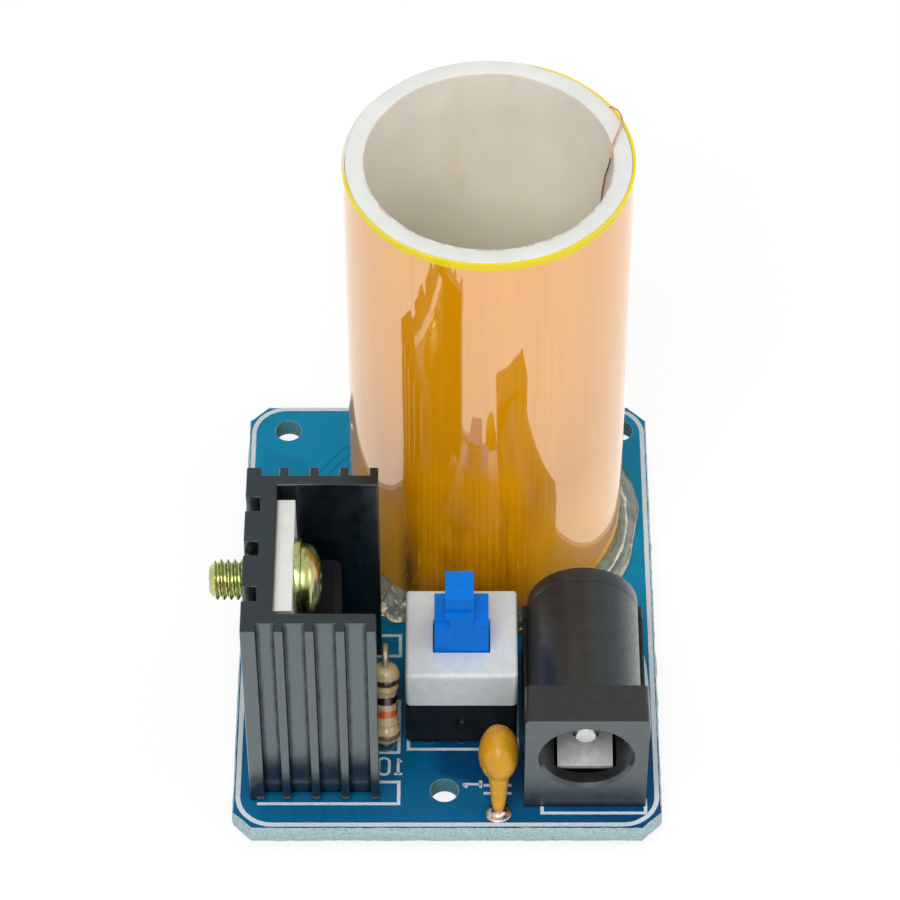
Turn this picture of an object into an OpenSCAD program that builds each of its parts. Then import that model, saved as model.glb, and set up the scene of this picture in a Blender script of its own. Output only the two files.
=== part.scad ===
// Desktop resonant transformer: a small high-voltage demonstration coil on a circuit board.
// Lengths are millimetres. +X is to the right and +Y away from the power socket, seen from the front.
// Every piece is placed from the centre of the board's upper face; the part stands on its solder joints.

/* [Board] */
// Board width, left to right
board_w = 32; // [31:0.5:40]
// Board length, front to back
board_l = 42; // [41:0.5:50]
// Board thickness
board_t = 1.6; // [0.8:0.1:2.4]
// Leg of the cut corner
corner_cut = 1.5; // [0.2:0.1:1.8]
// Mounting hole diameter
hole_d = 2.1; // [1.8:0.1:2.4]
// Distance between the two rear mounting holes
rear_hole_spacing = 26.6; // [26:0.1:27]
// Sideways place of the rear hole pair's middle
rear_holes_x = 0.5; // [0:0.1:0.6]
// Distance from the rear edge to the rear hole centres
rear_hole_inset = 2.6; // [2.4:0.1:3]
// Sideways place of the front mounting hole
front_hole_x = -0.2; // [-0.6:0.1:0.6]
// Distance from the front edge to the front hole's centre
front_hole_inset = 3.6; // [2.6:0.1:4]
// Height of the solder joints under the board
solder_h = 1.2; // [0.8:0.1:2]
// Copper thickness of tracks and pads
copper_t = 0.05; // [0.03:0.01:0.1]

/* [Coil] */
// Sideways place of the coil axis
coil_x = 3; // [2:0.1:3.4]
// Lengthwise place of the coil axis
coil_y = 8.6; // [8.2:0.1:9.6]
// Outside diameter of the plastic former
former_d = 20.5; // [18:0.1:21]
// Wall thickness of the plastic former
former_wall = 1.35; // [0.8:0.05:3.25]
// Length of the plastic former
former_l = 40; // [30:1:80]
// Diameter of the fine winding wire with its enamel
wire_d = 0.13; // [0.08:0.01:0.2]
// Bare length of former below the winding
winding_foot = 1.5; // [0.8:0.1:4]
// Bare length of former above the winding
winding_top_gap = 0.8; // [0.4:0.1:3]
// Thickness of the insulating film
film_t = 0.08; // [0.05:0.01:0.12]
// Play between former, winding and film
wrap_gap = 0.02; // [0.01:0.01:0.04]
// Diameter of the coil's lead wires
lead_wire_d = 0.15; // [0.13:0.01:0.2]
// Sideways offset of the printed primary coil from the coil axis
primary_dx = -3; // [-3.4:0.1:-2.6]
// Lengthwise offset of the printed primary coil from the coil axis
primary_dy = -0.6; // [-0.8:0.1:-0.4]
// Distance from the film to the primary coil's outer edge
primary_margin = 2; // [1.5:0.1:2.3]
// Turns of the printed primary coil
primary_turns = 3; // [1:1:3]
// Width of the primary track
primary_track_w = 0.6; // [0.4:0.05:0.75]
// Gap between primary tracks
primary_track_gap = 0.2; // [0.15:0.01:0.4]
// Spread of the glue bead round the coil's foot
glue_spread = 1.7; // [1:0.1:1.8]
// Height of the glue bead
glue_h = 2.2; // [1:0.1:3]

/* [Heat sink and transistor] */
// Sideways place of the heat sink's left face
sink_x = -14.6; // [-15.4:0.1:-14.4]
// Lengthwise place of the heat sink's middle
sink_y = -10.7; // [-11.5:0.1:-10.2]
// Heat sink depth, left to right, with the web fins
sink_w = 9.6; // [9:0.1:10]
// Heat sink width across the arm fins, front to back
sink_l = 15.4; // [15:0.1:17]
// Heat sink height
sink_h = 20; // [17:0.5:30]
// Clear width between the arms
channel_l = 12; // [11:0.1:12.6]
// Web thickness with its fins
web_t = 2.3; // [1.8:0.1:3]
// Depth of the grooves between the arm fins
arm_fin_h = 0.75; // [0.4:0.05:1]
// Thickness of one arm fin
fin_t = 0.65; // [0.5:0.05:0.9]
// Thickness of the corner fins
corner_fin_t = 1.1; // [0.8:0.05:1.4]
// Depth of the web grooves
web_groove_h = 1.1; // [0.5:0.1:1.4]
// Width of the web grooves
web_groove_w = 1.3; // [0.8:0.1:1.8]
// Distance of the outer web grooves from the middle one
web_groove_pitch = 4.2; // [3.6:0.1:4.6]
// Width of the transistor's metal tab
tab_l = 10.4; // [10:0.1:10.8]
// Thickness of the metal tab
tab_t = 1.3; // [1:0.05:1.5]
// Height of the transistor from body foot to tab top
transistor_h = 15.7; // [15.2:0.1:16]
// Height of the tab's top edge over the board
tab_top = 19.3; // [18.6:0.1:20.2]
// Height of the transistor's moulded body
mould_h = 9.2; // [8.8:0.1:9.6]
// Width of the moulded body
mould_l = 10; // [9.4:0.1:10.2]
// Thickness of the transistor over tab and mould
transistor_t = 4.5; // [4.2:0.1:4.8]
// Spacing of the transistor's leads
transistor_pitch = 2.54; // [2.4:0.01:2.7]
// Distance of the leads from the tab's back
transistor_lead_back = 2.6; // [2.2:0.1:3]
// Hole in the metal tab
tab_hole_d = 3.6; // [3.4:0.1:3.9]
// Distance of that hole from the tab's top edge
tab_hole_drop = 2.8; // [2.6:0.1:3.2]
// Diameter of the clamp screw's thread
screw_d = 3; // [2.8:0.1:3]
// Screw length under the head
screw_l = 6.65; // [6:0.05:8]
// Diameter of the screw head
screw_head_d = 5.3; // [5:0.1:5.8]
// Height of the domed screw head
screw_head_h = 1.5; // [1.3:0.1:2]
// Outside diameter of the washer
washer_d = 6.1; // [6:0.1:6.4]
// Thickness of the washer
washer_t = 0.5; // [0.3:0.1:0.8]

/* [Resistor] */
// Sideways place of the resistor
resistor_x = -4.6; // [-4.7:0.05:-4.5]
// Lengthwise place of its front pad
resistor_y = -13.15; // [-13.4:0.05:-12.8]
// Distance between its two pads
resistor_pitch = 3.8; // [3.6:0.1:4.4]
// Length of the coated body
resistor_l = 6.5; // [6:0.1:6.8]
// Diameter at the end caps
resistor_cap_d = 2.2; // [2:0.05:2.2]
// Diameter between the end caps
resistor_waist_d = 1.7; // [1.5:0.05:1.9]
// Length of one end cap
resistor_cap_l = 1.5; // [1.2:0.1:1.8]
// How far it leans back from upright, in degrees
resistor_lean = 20; // [14:1:22]
// Diameter of the resistor's leads
resistor_lead_d = 0.5; // [0.4:0.02:0.55]

/* [Capacitor] */
// Sideways place of the capacitor
capacitor_x = 3.8; // [3.6:0.05:3.9]
// Lengthwise place of its middle
capacitor_y = -17.3; // [-17.4:0.05:-17.2]
// Distance between its leads
capacitor_pitch = 4.4; // [4.2:0.1:4.6]
// Diameter of the dipped body, seen from the side
capacitor_d = 4.2; // [3.9:0.1:4.4]
// Thickness of the dipped body
capacitor_t = 3; // [2.6:0.1:3.1]
// Height of the body's centre over the board
capacitor_z = 4.5; // [4.2:0.1:5.5]
// Diameter of the capacitor's leads
capacitor_lead_d = 0.5; // [0.4:0.02:0.6]

/* [Push switch] */
// Sideways place of the switch
switch_x = 1.07; // [1:0.01:1.1]
// Gap between the coil's film and the switch
switch_gap = 2.83; // [2.75:0.01:2.95]
// Width of the square switch
switch_w = 8.3; // [8.2:0.1:8.4]
// Height of the black base
switch_base_h = 4.55; // [4.4:0.05:4.7]
// Height of the cover's top over the board
switch_h = 8.15; // [8:0.05:8.3]
// Height of the small feet under the base
switch_foot_h = 0.25; // [0.15:0.05:0.4]
// Wall of the cover
cover_wall = 0.6; // [0.5:0.05:0.65]
// Roof of the cover
cover_roof = 0.85; // [0.7:0.05:0.9]
// Spacing of the switch terminals along a row
terminal_pitch = 2.5; // [2.4:0.05:2.54]
// Distance between the two terminal rows
terminal_rows = 6.8; // [6.7:0.05:6.9]
// Plunger width, left to right
plunger_w = 4; // [3.6:0.1:4.2]
// Plunger depth, front to back
plunger_l = 3; // [2.8:0.1:3.2]
// Distance of the plunger in front of the switch's middle
plunger_offset = 0.3; // [0.2:0.05:0.4]
// Height of the plunger block's top over the cover, released
plunger_rise = 3.1; // [3:0.1:3.6]
// Height of the stem on the plunger block
stem_h = 2.95; // [2.6:0.05:3.4]
// Width of the stem
stem_w = 2.1; // [1.8:0.1:2.4]
// Depth of the stem, front to back
stem_l = 2.7; // [2.4:0.1:2.8]
// Full travel of the plunger
plunger_travel = 2.4; // [2:0.1:2.4]
// Play of the plunger in the cover's window
plunger_play = 0.1; // [0.06:0.01:0.15]

/* [Power socket] */
// Sideways place of the socket
socket_x = 10.2; // [10.1:0.05:10.6]
// Distance of the socket's front face from the board's front edge
socket_inset = 2.1; // [1.8:0.1:2.2]
// Width of the socket
socket_w = 9; // [8.8:0.1:9]
// Height of the front flange
socket_h = 10.35; // [10.2:0.05:11]
// Depth of the front flange
flange_t = 3.3; // [3:0.1:3.6]
// Whole length of the socket
socket_l = 14.75; // [14.5:0.05:14.8]
// Radius of the round-topped barrel
barrel_r = 4.15; // [4:0.05:4.2]
// Height of the barrel axis over the board
socket_axis_z = 5.85; // [5.8:0.05:6]
// Height of the square lower half of the barrel
ledge_z = 5.5; // [5:0.1:5.6]
// Diameter of the plug opening
socket_bore_d = 6.6; // [6.3:0.1:6.8]
// Diameter of the opening's chamfered mouth
socket_mouth_d = 7.1; // [7:0.1:7.4]
// Depth of the plug opening
socket_bore_l = 9.6; // [9:0.1:10]
// Diameter of the centre pin
pin_d = 2; // [1.8:0.1:2.1]
// Distance of the pin's tip behind the front face
pin_setback = 2.05; // [1:0.05:2.5]
// Thickness of the rear cover
rear_cover_t = 1.3; // [1.2:0.1:1.5]
// Width of the springy leaf contact
leaf_w = 4.1; // [3.6:0.1:4.2]
// Thickness of the leaf contact
leaf_t = 0.3; // [0.2:0.05:0.35]

/* [Hidden] */

$fn = 64;
cut = 0.01;             // overrun of a cut past a face
fit_gap = 0.03;         // play between two fitted solids of one body
overlap = 0.2;          // depth to which joined shapes of one solid run into each other

// board
board_top = solder_h + board_t;
rear_hole_y = board_l / 2 - rear_hole_inset;
front_hole_y = front_hole_inset - board_l / 2;
lead_hole_d = 0.9;
pad_d = 1.8;
small_pad_d = 1.5;
coil_pad_d = 0.9;
coil_hole_d = 0.5;
seat_z = copper_t;      // parts that straddle printed tracks stand on the copper
lead_trim = 0.1;        // a trimmed lead ends this far inside its solder joint

// heat sink, transistor and screw
channel_x = sink_x + web_t;
tab_front = channel_x + tab_t;
transistor_lead_x = channel_x + transistor_lead_back;
mould_front = channel_x + transistor_t;
transistor_foot = tab_top - transistor_h;
screw_z = tab_top - tab_hole_drop;
screw_seat = tab_front + washer_t;
screw_tip = screw_seat - screw_l;

// the part's box is centred on the origin: the screw tip reaches past the board's left edge
left_reach = min(screw_tip, -board_w / 2);
board_cx = -(left_reach + board_w / 2) / 2;

// coil
former_bore = former_d - 2 * former_wall;
winding_in = former_d / 2 + wrap_gap;
winding_out = winding_in + wire_d;
film_in = winding_out + wrap_gap;
film_out = film_in + film_t;
glue_in = film_out + wrap_gap;
primary_r = film_out + primary_margin;
former_top = seat_z + former_l;
winding_bottom = seat_z + winding_foot;
winding_top = former_top - winding_top_gap;
film_bottom = seat_z + 0.3;
bottom_lead_angle = 226;
bottom_lead_r = film_out + 1.1;
top_lead_rise = 0.3;
top_lead_drop = 12;     // the wire's end hangs this far inside the former
top_lead_r = former_bore / 2 - lead_wire_d - cut;
// route of the upper wire end: radius, angle round the coil, height past the rim
top_lead_route = [
    [winding_in + wire_d / 2, 34, -0.9 * winding_top_gap], [film_out - lead_wire_d, 31, 0.2 * top_lead_rise],
    [film_out - lead_wire_d / 3, 27, 0.8 * top_lead_rise], [film_out - lead_wire_d * 2 / 3, 23.5, top_lead_rise],
    [film_out - lead_wire_d * 5 / 3, 20, top_lead_rise],
    [former_bore / 2 + former_wall / 3, 12.8, 0.8 * top_lead_rise],
    [former_bore / 2 - lead_wire_d / 3, 6.5, top_lead_rise / 2],
    [top_lead_r, 4, -top_lead_drop / 30], [top_lead_r, 9, -top_lead_drop / 6],
    [top_lead_r, 15, -top_lead_drop / 3], [top_lead_r, 18, -top_lead_drop / 2],
    [top_lead_r, 20, -top_lead_drop * 3 / 4], [top_lead_r, 21, -top_lead_drop]
];

// resistor: the body leans back, its upper lead turns over and comes down to the rear pad
resistor_foot_z = 0.6;
resistor_stub = 0.35;
lean_y = sin(resistor_lean);
lean_z = cos(resistor_lean);
resistor_top_y = resistor_y + (resistor_l + resistor_stub) * lean_y;
resistor_top_z = resistor_foot_z + (resistor_l + resistor_stub) * lean_z;
resistor_rear_y = resistor_y + resistor_pitch;
hairpin_r = (resistor_rear_y - resistor_top_y) / (1 + lean_z);
hairpin_y = resistor_top_y + hairpin_r * lean_z;
hairpin_z = resistor_top_z - hairpin_r * lean_y;

// capacitor
capacitor_knee_z = 0.8;
capacitor_grip = 0.72;  // share of the body radius at which a lead enters it

// switch
switch_y = coil_y - film_out - switch_gap - switch_w / 2;
switch_wall = 0.95;
switch_pocket_l = switch_w - 2 * switch_wall;
switch_pocket_w = switch_w - 2 * 1.15;
switch_floor = 1;
spigot_h = 1;
spigot_w = switch_w - 2 * cover_wall - 2 * fit_gap;
cover_inside = switch_h - cover_roof;
plunger_y = switch_y - plunger_offset;
plunger_top = switch_h + plunger_rise;
shoulder_h = 1.2;
shoulder_top = cover_inside - 0.1;
shoulder_bottom = shoulder_top - shoulder_h;
shoulder_w = 5.4;
shoulder_l = 5.8;
rib_drop = 1.8;         // contact ribs hang this far below the shoulder
clip_t = 0.2;
clip_h = 1.2;
spring_d = 2.4;
spring_wire_d = 0.25;
spring_turns = 6;
spring_seat_d = 1.4;
spring_seat_h = 0.9;
spring_end_gap = 0.03;
latch_wire_d = 0.35;
latch_x = switch_x + 2.55;
latch_pivot_z = 1.7;
latch_hook_z = 5.3;
latch_pivot_play = 0.05;
cam_bottom = 4.8;
cam_top = 8.05;
cam_w = 2;
cam_x = switch_x + 1.7;
terminal_t = 0.3;
terminal_w = 0.7;
terminal_top = 5.2;
short_terminal_top = 3;

// power socket
socket_y = socket_inset - board_l / 2;
seam_y = socket_y + socket_l - rear_cover_t;
leaf_hinge_back = 8.2;  // from the socket's front face, as for the lip, crest and sleeve leg
leaf_lip_back = 1.7;
leaf_crest_back = 4.8;
sleeve_leg_back = 9.3;
leaf_hinge_y = socket_y + leaf_hinge_back;
leaf_hinge_z = 1.6;
leaf_lip_y = socket_y + leaf_lip_back;
leaf_crest_y = socket_y + leaf_crest_back;
leaf_lip_z = 2.75;
leaf_crest_z = 3.65;
leaf_slot_w = leaf_w + 0.5;
leaf_slot_bottom = 0.5;
leaf_hinge_d = 0.8;
leaf_play = 0.05;
sleeve_leg_y = socket_y + sleeve_leg_back;
break_leg_lead = 0.2;   // from the leaf's hinge forwards
break_leg_side = 3.85;
break_leg_y = leaf_hinge_y - break_leg_lead;
break_leg_x = socket_x - break_leg_side;
break_z = 2.95;
break_t = 0.3;
break_strip_w = 1.2;
break_reach = 2.3;      // from the leg's middle to the strip's end over the leaf
pin_plate_t = 0.4;
pin_plate_y = seam_y - pin_plate_t;
leg_w = 2;
leg_t = 0.4;

// ---------------------------------------------------------------- placing and shape helpers

// Places its children from the centre of the board's upper face.
module on_board(x = 0, y = 0, z = 0)
    translate([board_cx + x, y, board_top + z])
    children();

// Rectangle with true round corners, centred.
module rounded_rect(w, l, r) {
    square([w - 2 * r, l], center = true);
    square([w, l - 2 * r], center = true);
    for (sx = [-1, 1], sy = [-1, 1])
        translate([sx * (w / 2 - r), sy * (l / 2 - r)])
        circle(r);
}

// Box centred in X and Y, standing on z = 0.
module block(size)
    translate([-size.x / 2, -size.y / 2, 0])
    cube(size);

// Round rod from point p to point q, with its own radius at each end.
module rod(p, q, r1, r2) {
    run = q - p;
    length = norm(run);
    translate(p)
    rotate([0, acos(run.z / length), atan2(run.y, run.x)])
    cylinder(h = length, r1 = r1, r2 = r2);
}

function unit(v) = v / norm(v);

// Direction of a route at its point i.
function heading(route, i) =
    unit(route[min(i + 1, len(route) - 1)] - route[max(i - 1, 0)]);

// One ring of points square to the route; up is a direction that the route never follows.
function ring(centre, along, up, r, sides) =
    let (side = unit(cross(along, up)), lift = cross(side, along))
    [for (k = [0 : sides - 1]) centre + r * (cos(360 * k / sides) * side + sin(360 * k / sides) * lift)];

// Smooth tube swept along a route.
module swept_tube(route, d, up, sides = 8) {
    last = len(route) - 1;
    skin = [for (i = [0 : last]) each ring(route[i], heading(route, i), up, d / 2, sides)];
    faces = [
        for (i = [0 : last - 1], k = [0 : sides - 1])
            each [
                [i * sides + k, i * sides + (k + 1) % sides, (i + 1) * sides + k],
                [i * sides + (k + 1) % sides, (i + 1) * sides + (k + 1) % sides, (i + 1) * sides + k]
            ],
        [for (k = [sides - 1 : -1 : 0]) k],
        [for (k = [0 : sides - 1]) last * sides + k]
    ];
    polyhedron(points = skin, faces = faces, convexity = 8);
}

// ---------------------------------------------------------------- lead positions

transistor_spots = [for (k = [-1 : 1]) [transistor_lead_x, sink_y + k * transistor_pitch]];
resistor_spots = [[resistor_x, resistor_y], [resistor_x, resistor_rear_y]];
capacitor_spots = [for (s = [-1, 1]) [capacitor_x, capacitor_y + s * capacitor_pitch / 2]];
switch_spots = [
    for (s = [-1, 1], k = [-1 : 1])
        [switch_x + k * terminal_pitch, switch_y + s * terminal_rows / 2]
];
coil_spot = [
    coil_x + bottom_lead_r * cos(bottom_lead_angle),
    coil_y + bottom_lead_r * sin(bottom_lead_angle)
];
pin_leg_spot = [socket_x, pin_plate_y + pin_plate_t / 2];
sleeve_leg_spot = [socket_x, sleeve_leg_y];
break_leg_spot = [break_leg_x, break_leg_y];

// ---------------------------------------------------------------- circuit board

module board_outline() {
    x = board_w / 2;
    y = board_l / 2;
    c = corner_cut;
    polygon([
        [-x + c, -y], [x - c, -y], [x, -y + c], [x, y - c],
        [x - c, y], [-x + c, y], [-x, y - c], [-x, -y + c]
    ]);
}

module board_hole(spot, d)
    translate([spot.x, spot.y, -board_t - cut])
    cylinder(h = board_t + 2 * cut, d = d);

module leg_slot(spot, size)
    translate([spot.x, spot.y, -board_t - cut])
    block([size.x + 2 * overlap, size.y + 2 * overlap, board_t + 2 * cut]);

module circuit_board()
    color("#087a9c")
    on_board()
    difference() {
        translate([0, 0, -board_t])
        linear_extrude(board_t)
        board_outline();
        for (s = [-1, 1])
            board_hole([rear_holes_x + s * rear_hole_spacing / 2, rear_hole_y], hole_d);
        board_hole([front_hole_x, front_hole_y], hole_d);
        for (spot = concat(transistor_spots, resistor_spots, capacitor_spots, switch_spots))
            board_hole(spot, lead_hole_d + overlap);
        board_hole(coil_spot, coil_hole_d);
        leg_slot(pin_leg_spot, [leg_w, leg_t]);
        leg_slot(sleeve_leg_spot, [leg_w, leg_t]);
        leg_slot(break_leg_spot, [leg_t, leg_w]);
    }

// Flat spiral of the printed primary coil, wound inwards from its outer radius.
module primary_coil() {
    pitch = primary_track_w + primary_track_gap;
    steps = 48;
    outer = [
        for (i = [0 : primary_turns * steps])
            let (a = 120 + 360 * i / steps, r = primary_r - pitch * i / steps) [r * cos(a), r * sin(a)]
    ];
    inner = [
        for (i = [primary_turns * steps : -1 : 0])
            let (a = 120 + 360 * i / steps, r = primary_r - primary_track_w - pitch * i / steps)
                [r * cos(a), r * sin(a)]
    ];
    color("#0a6c8c")
    on_board(coil_x + primary_dx, coil_y + primary_dy)
    linear_extrude(copper_t)
    polygon(concat(outer, inner));
}

module pad(spot, d, hole = lead_hole_d + overlap)
    translate([spot.x, spot.y, 0])
    difference() {
        cylinder(h = copper_t, d = d);
        translate([0, 0, -cut])
        cylinder(h = copper_t + 2 * cut, d = hole);
    }

module component_pads()
    color("#c9ccd0")
    on_board() {
        for (spot = concat(transistor_spots, resistor_spots, switch_spots))
            pad(spot, small_pad_d);
        for (spot = capacitor_spots)
            pad(spot, pad_d);
        pad(coil_spot, coil_pad_d, coil_hole_d);
    }

// One cone of solder under the board, round a trimmed lead of the given cross-section.
module solder_cone(spot, d, lead)
    translate([spot.x, spot.y, -board_t - solder_h])
    difference() {
        cylinder(h = solder_h, d1 = d * 0.6, d2 = d);
        translate([0, 0, -cut])
        block([lead.x + 2 * fit_gap, lead.y + 2 * fit_gap, solder_h + 2 * cut]);
    }

module round_solder_cone(spot, d, lead_d)
    translate([spot.x, spot.y, -board_t - solder_h])
    difference() {
        cylinder(h = solder_h, d1 = d * 0.6, d2 = d);
        translate([0, 0, -cut])
        cylinder(h = solder_h + 2 * cut, d = lead_d + 2 * fit_gap);
    }

module solder_joints()
    color("#b9bcc0")
    on_board() {
        for (spot = transistor_spots)
            solder_cone(spot, 2.2, [0.5, 0.7]);
        for (spot = switch_spots)
            solder_cone(spot, 1.9, [terminal_w, terminal_t]);
        for (spot = resistor_spots)
            round_solder_cone(spot, pad_d, resistor_lead_d);
        for (spot = capacitor_spots)
            round_solder_cone(spot, pad_d, capacitor_lead_d);
        round_solder_cone(coil_spot, small_pad_d, lead_wire_d);
        solder_cone(pin_leg_spot, 3.4, [leg_w, leg_t]);
        solder_cone(sleeve_leg_spot, 3.4, [leg_w, leg_t]);
        solder_cone(break_leg_spot, 3.4, [leg_t, leg_w]);
    }

// ---------------------------------------------------------------- coil

module sleeve(z, h, r_in, r_out)
    on_board(coil_x, coil_y, z)
    difference() {
        cylinder(h = h, r = r_out);
        translate([0, 0, -cut])
        cylinder(h = h + 2 * cut, r = r_in);
    }

module coil_former()
    color("#ececea")
    sleeve(seat_z, former_l, former_bore / 2, former_d / 2);

module secondary_winding()
    color("#8a4b16")
    sleeve(winding_bottom, winding_top - winding_bottom, winding_in, winding_out);

module insulation_film()
    color("#d18a08")
    sleeve(film_bottom, former_top - film_bottom, film_in, film_out);

module winding_top_lead()
    color("#b5652f")
    on_board(coil_x, coil_y, former_top)
    swept_tube([for (p = top_lead_route) [p[0] * cos(p[1]), p[0] * sin(p[1]), p[2]]],
        lead_wire_d, [1, 0.3, 0]);

// The lower wire end leaves the winding under the film and drops into its pad.
module winding_bottom_lead() {
    out = [cos(bottom_lead_angle), sin(bottom_lead_angle), 0];
    knee_z = 0.5;
    bend = 0.2;
    foot_z = -board_t - solder_h + lead_trim;
    color("#b5652f")
    on_board(coil_x, coil_y)
    swept_tube([
        (winding_out - wire_d / 2) * out + [0, 0, winding_bottom + lead_wire_d / 2],
        (bottom_lead_r - bend) * out + [0, 0, knee_z + bend],
        (bottom_lead_r - bend / 4) * out + [0, 0, knee_z],
        bottom_lead_r * out + [0, 0, knee_z - bend],
        bottom_lead_r * out + [0, 0, foot_z]
    ], lead_wire_d, [-out.y, out.x, 0]);
}

module glue_profile() {
    steps = 8;
    polygon(concat(
        [[glue_in, 0], [glue_in + glue_spread, 0]],
        [
            for (i = [1 : steps])
                let (a = 90 * i / steps)
                    [glue_in + glue_spread * (1 - sin(a) * 0.92), glue_h * (1 - cos(a)) + 0.1]
        ],
        [[glue_in, glue_h + 0.1]]
    ));
}

// Bead of hot glue round the coil's foot, with a drop over the lower wire end.
module glue_bead()
    color("#dfe6e4")
    on_board(coil_x, coil_y, seat_z) {
        rotate_extrude()
        glue_profile();
        difference() {
            union() {
                translate([bottom_lead_r * cos(226), bottom_lead_r * sin(226), 0.6])
                sphere(r = 1.5);
                translate([(bottom_lead_r + 0.2) * cos(234), (bottom_lead_r + 0.2) * sin(234), 0.4])
                sphere(r = 1.1);
                translate([(bottom_lead_r - 0.3) * cos(218), (bottom_lead_r - 0.3) * sin(218), 0.7])
                sphere(r = 1.3);
            }
            translate([0, 0, -cut])
            cylinder(h = former_l, r = glue_in);
            translate([0, 0, -former_l])
            cylinder(h = former_l, r = 2 * former_d);
        }
    }

// ---------------------------------------------------------------- heat sink and transistor

arm_base_l = sink_l - 2 * arm_fin_h;
arm_fin_pitch = (sink_w - corner_fin_t / 2 - fin_t / 2) / 4;

module sink_outline() {
    difference() {
        translate([0, -arm_base_l / 2])
        square([sink_w, arm_base_l]);
        translate([web_t, -channel_l / 2])
        square([sink_w, channel_l]);
        for (k = [-1 : 1])
            translate([-cut, k * web_groove_pitch - web_groove_w / 2])
            square([web_groove_h + cut, web_groove_w]);
    }
    for (side = [-1, 1]) {
        translate([0, side * (arm_base_l / 2 + arm_fin_h / 2 - overlap / 2) - (arm_fin_h + overlap) / 2])
        square([corner_fin_t, arm_fin_h + overlap]);
        for (k = [1 : 4])
            translate([
                corner_fin_t / 2 + k * arm_fin_pitch - fin_t / 2,
                side * (arm_base_l / 2 + arm_fin_h / 2 - overlap / 2) - (arm_fin_h + overlap) / 2
            ])
            square([fin_t, arm_fin_h + overlap]);
    }
}

module heat_sink()
    color("#2d2e31")
    on_board(sink_x, sink_y, seat_z)
    difference() {
        linear_extrude(sink_h)
        sink_outline();
        translate([-cut, 0, screw_z - seat_z])
        rotate([0, 90, 0])
        cylinder(h = web_t + 2 * cut, d = screw_d + 2 * fit_gap);
    }

module transistor_tab()
    color("#d8d4ce")
    on_board(channel_x, sink_y, transistor_foot)
    difference() {
        translate([0, -tab_l / 2, 0])
        cube([tab_t, tab_l, transistor_h]);
        translate([-cut, 0, screw_z - transistor_foot])
        rotate([0, 90, 0])
        cylinder(h = tab_t + 2 * cut, d = tab_hole_d);
        for (s = [-1, 1])
            translate([-cut, s * tab_l / 2 - 0.4, mould_h + 0.6])
            cube([tab_t + 2 * cut, 0.8, 1.6]);
    }

die_w = 2.6;
die_t = 0.3;
die_z = 4.6;

module transistor_body()
    color("#29292c")
    on_board(tab_front, sink_y, transistor_foot)
    difference() {
        translate([0, -mould_l / 2, 0])
        cube([transistor_t - tab_t, mould_l, mould_h]);
        translate([-cut, -die_w / 2 - fit_gap, die_z - fit_gap])
        cube([die_t + fit_gap + cut, die_w + 2 * fit_gap, die_w + 2 * fit_gap]);
        translate([transistor_t - tab_t, -mould_l, mould_h - 0.5])
        rotate([0, -45, 0])
        cube([1, 2 * mould_l, 2]);
        for (k = [-1 : 1])
            translate([transistor_lead_x - tab_front, k * transistor_pitch, -cut])
            block([0.5 + 2 * fit_gap, 1.2 + 2 * fit_gap, 2]);
    }

module transistor_die()
    color("#4a4d57")
    on_board(tab_front, sink_y, transistor_foot + die_z)
    translate([0, -die_w / 2, 0])
    cube([die_t, die_w, die_w]);

module transistor_leads() {
    shoulder_z = 0.4;
    grip = 1.9;
    color("#b4b6b8")
    on_board()
    for (spot = transistor_spots)
        translate([spot.x, spot.y, 0]) {
            translate([0, 0, shoulder_z])
            block([0.5, 1.2, transistor_foot + grip - shoulder_z]);
            translate([0, 0, -board_t - solder_h + lead_trim])
            block([0.5, 0.7, board_t + solder_h + shoulder_z]);
        }
}

// Screw through washer and tab into the web's tapped hole, its tip standing out on the left.
module clamp_screw()
    color("#b9a85a")
    on_board(screw_seat, sink_y, screw_z)
    rotate([0, -90, 0])
    difference() {
        union() {
            cylinder(h = screw_l, d = screw_d);
            intersection() {
                translate([0, 0, -screw_head_h])
                cylinder(h = screw_head_h, d = screw_head_d);
                dome_r = (pow(screw_head_d / 2, 2) + pow(screw_head_h, 2)) / (2 * screw_head_h) + 0.1;
                translate([0, 0, dome_r - screw_head_h])
                sphere(r = dome_r);
            }
        }
        for (turn = [0, 90])
            rotate(turn)
            translate([-0.35, -1.3, -screw_head_h - cut])
            cube([0.7, 2.6, 1]);
    }

module screw_washer()
    color("#c2b26a")
    on_board(tab_front, sink_y, screw_z)
    rotate([0, 90, 0])
    difference() {
        cylinder(h = washer_t, d = washer_d);
        translate([0, 0, -cut])
        cylinder(h = washer_t + 2 * cut, d = screw_d + 2 * fit_gap);
    }

// ---------------------------------------------------------------- resistor

module leaning()
    on_board(resistor_x, resistor_y, resistor_foot_z)
    rotate([-resistor_lean, 0, 0])
    children();

// Half outline of the coated body: two round-shouldered end caps and a waist.
function resistor_outline() =
    let (
        r = resistor_cap_d / 2, w = resistor_waist_d / 2, c = resistor_cap_l, l = resistor_l,
        low = [for (a = [-80 : 20 : 60]) [r * 0.55 + r * 0.45 * cos(a), c / 2 + c / 2 * sin(a)]],
        neck = [[(r + w) / 2, c * 1.08], [w, c * 1.35]],
        half = concat([[0, 0]], low, neck),
        mirrored = [for (i = [len(half) - 1 : -1 : 0]) [half[i].x, l - half[i].y]]
    )
    concat(half, mirrored);

module resistor_body()
    color("#c9a86a")
    leaning()
    difference() {
        rotate_extrude()
        polygon(resistor_outline());
        translate([0, 0, -cut])
        cylinder(h = resistor_l + 2 * cut, d = resistor_lead_d + 2 * fit_gap);
        translate([0, 0, core_inset])
        cylinder(h = resistor_l - 2 * core_inset, d = core_d + 2 * fit_gap);
    }

core_inset = 0.5;
core_d = 1.3;

module resistor_core()
    color("#e8e2d4")
    leaning()
    translate([0, 0, core_inset + fit_gap])
    cylinder(h = resistor_l - 2 * core_inset - 2 * fit_gap, d = core_d);

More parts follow.
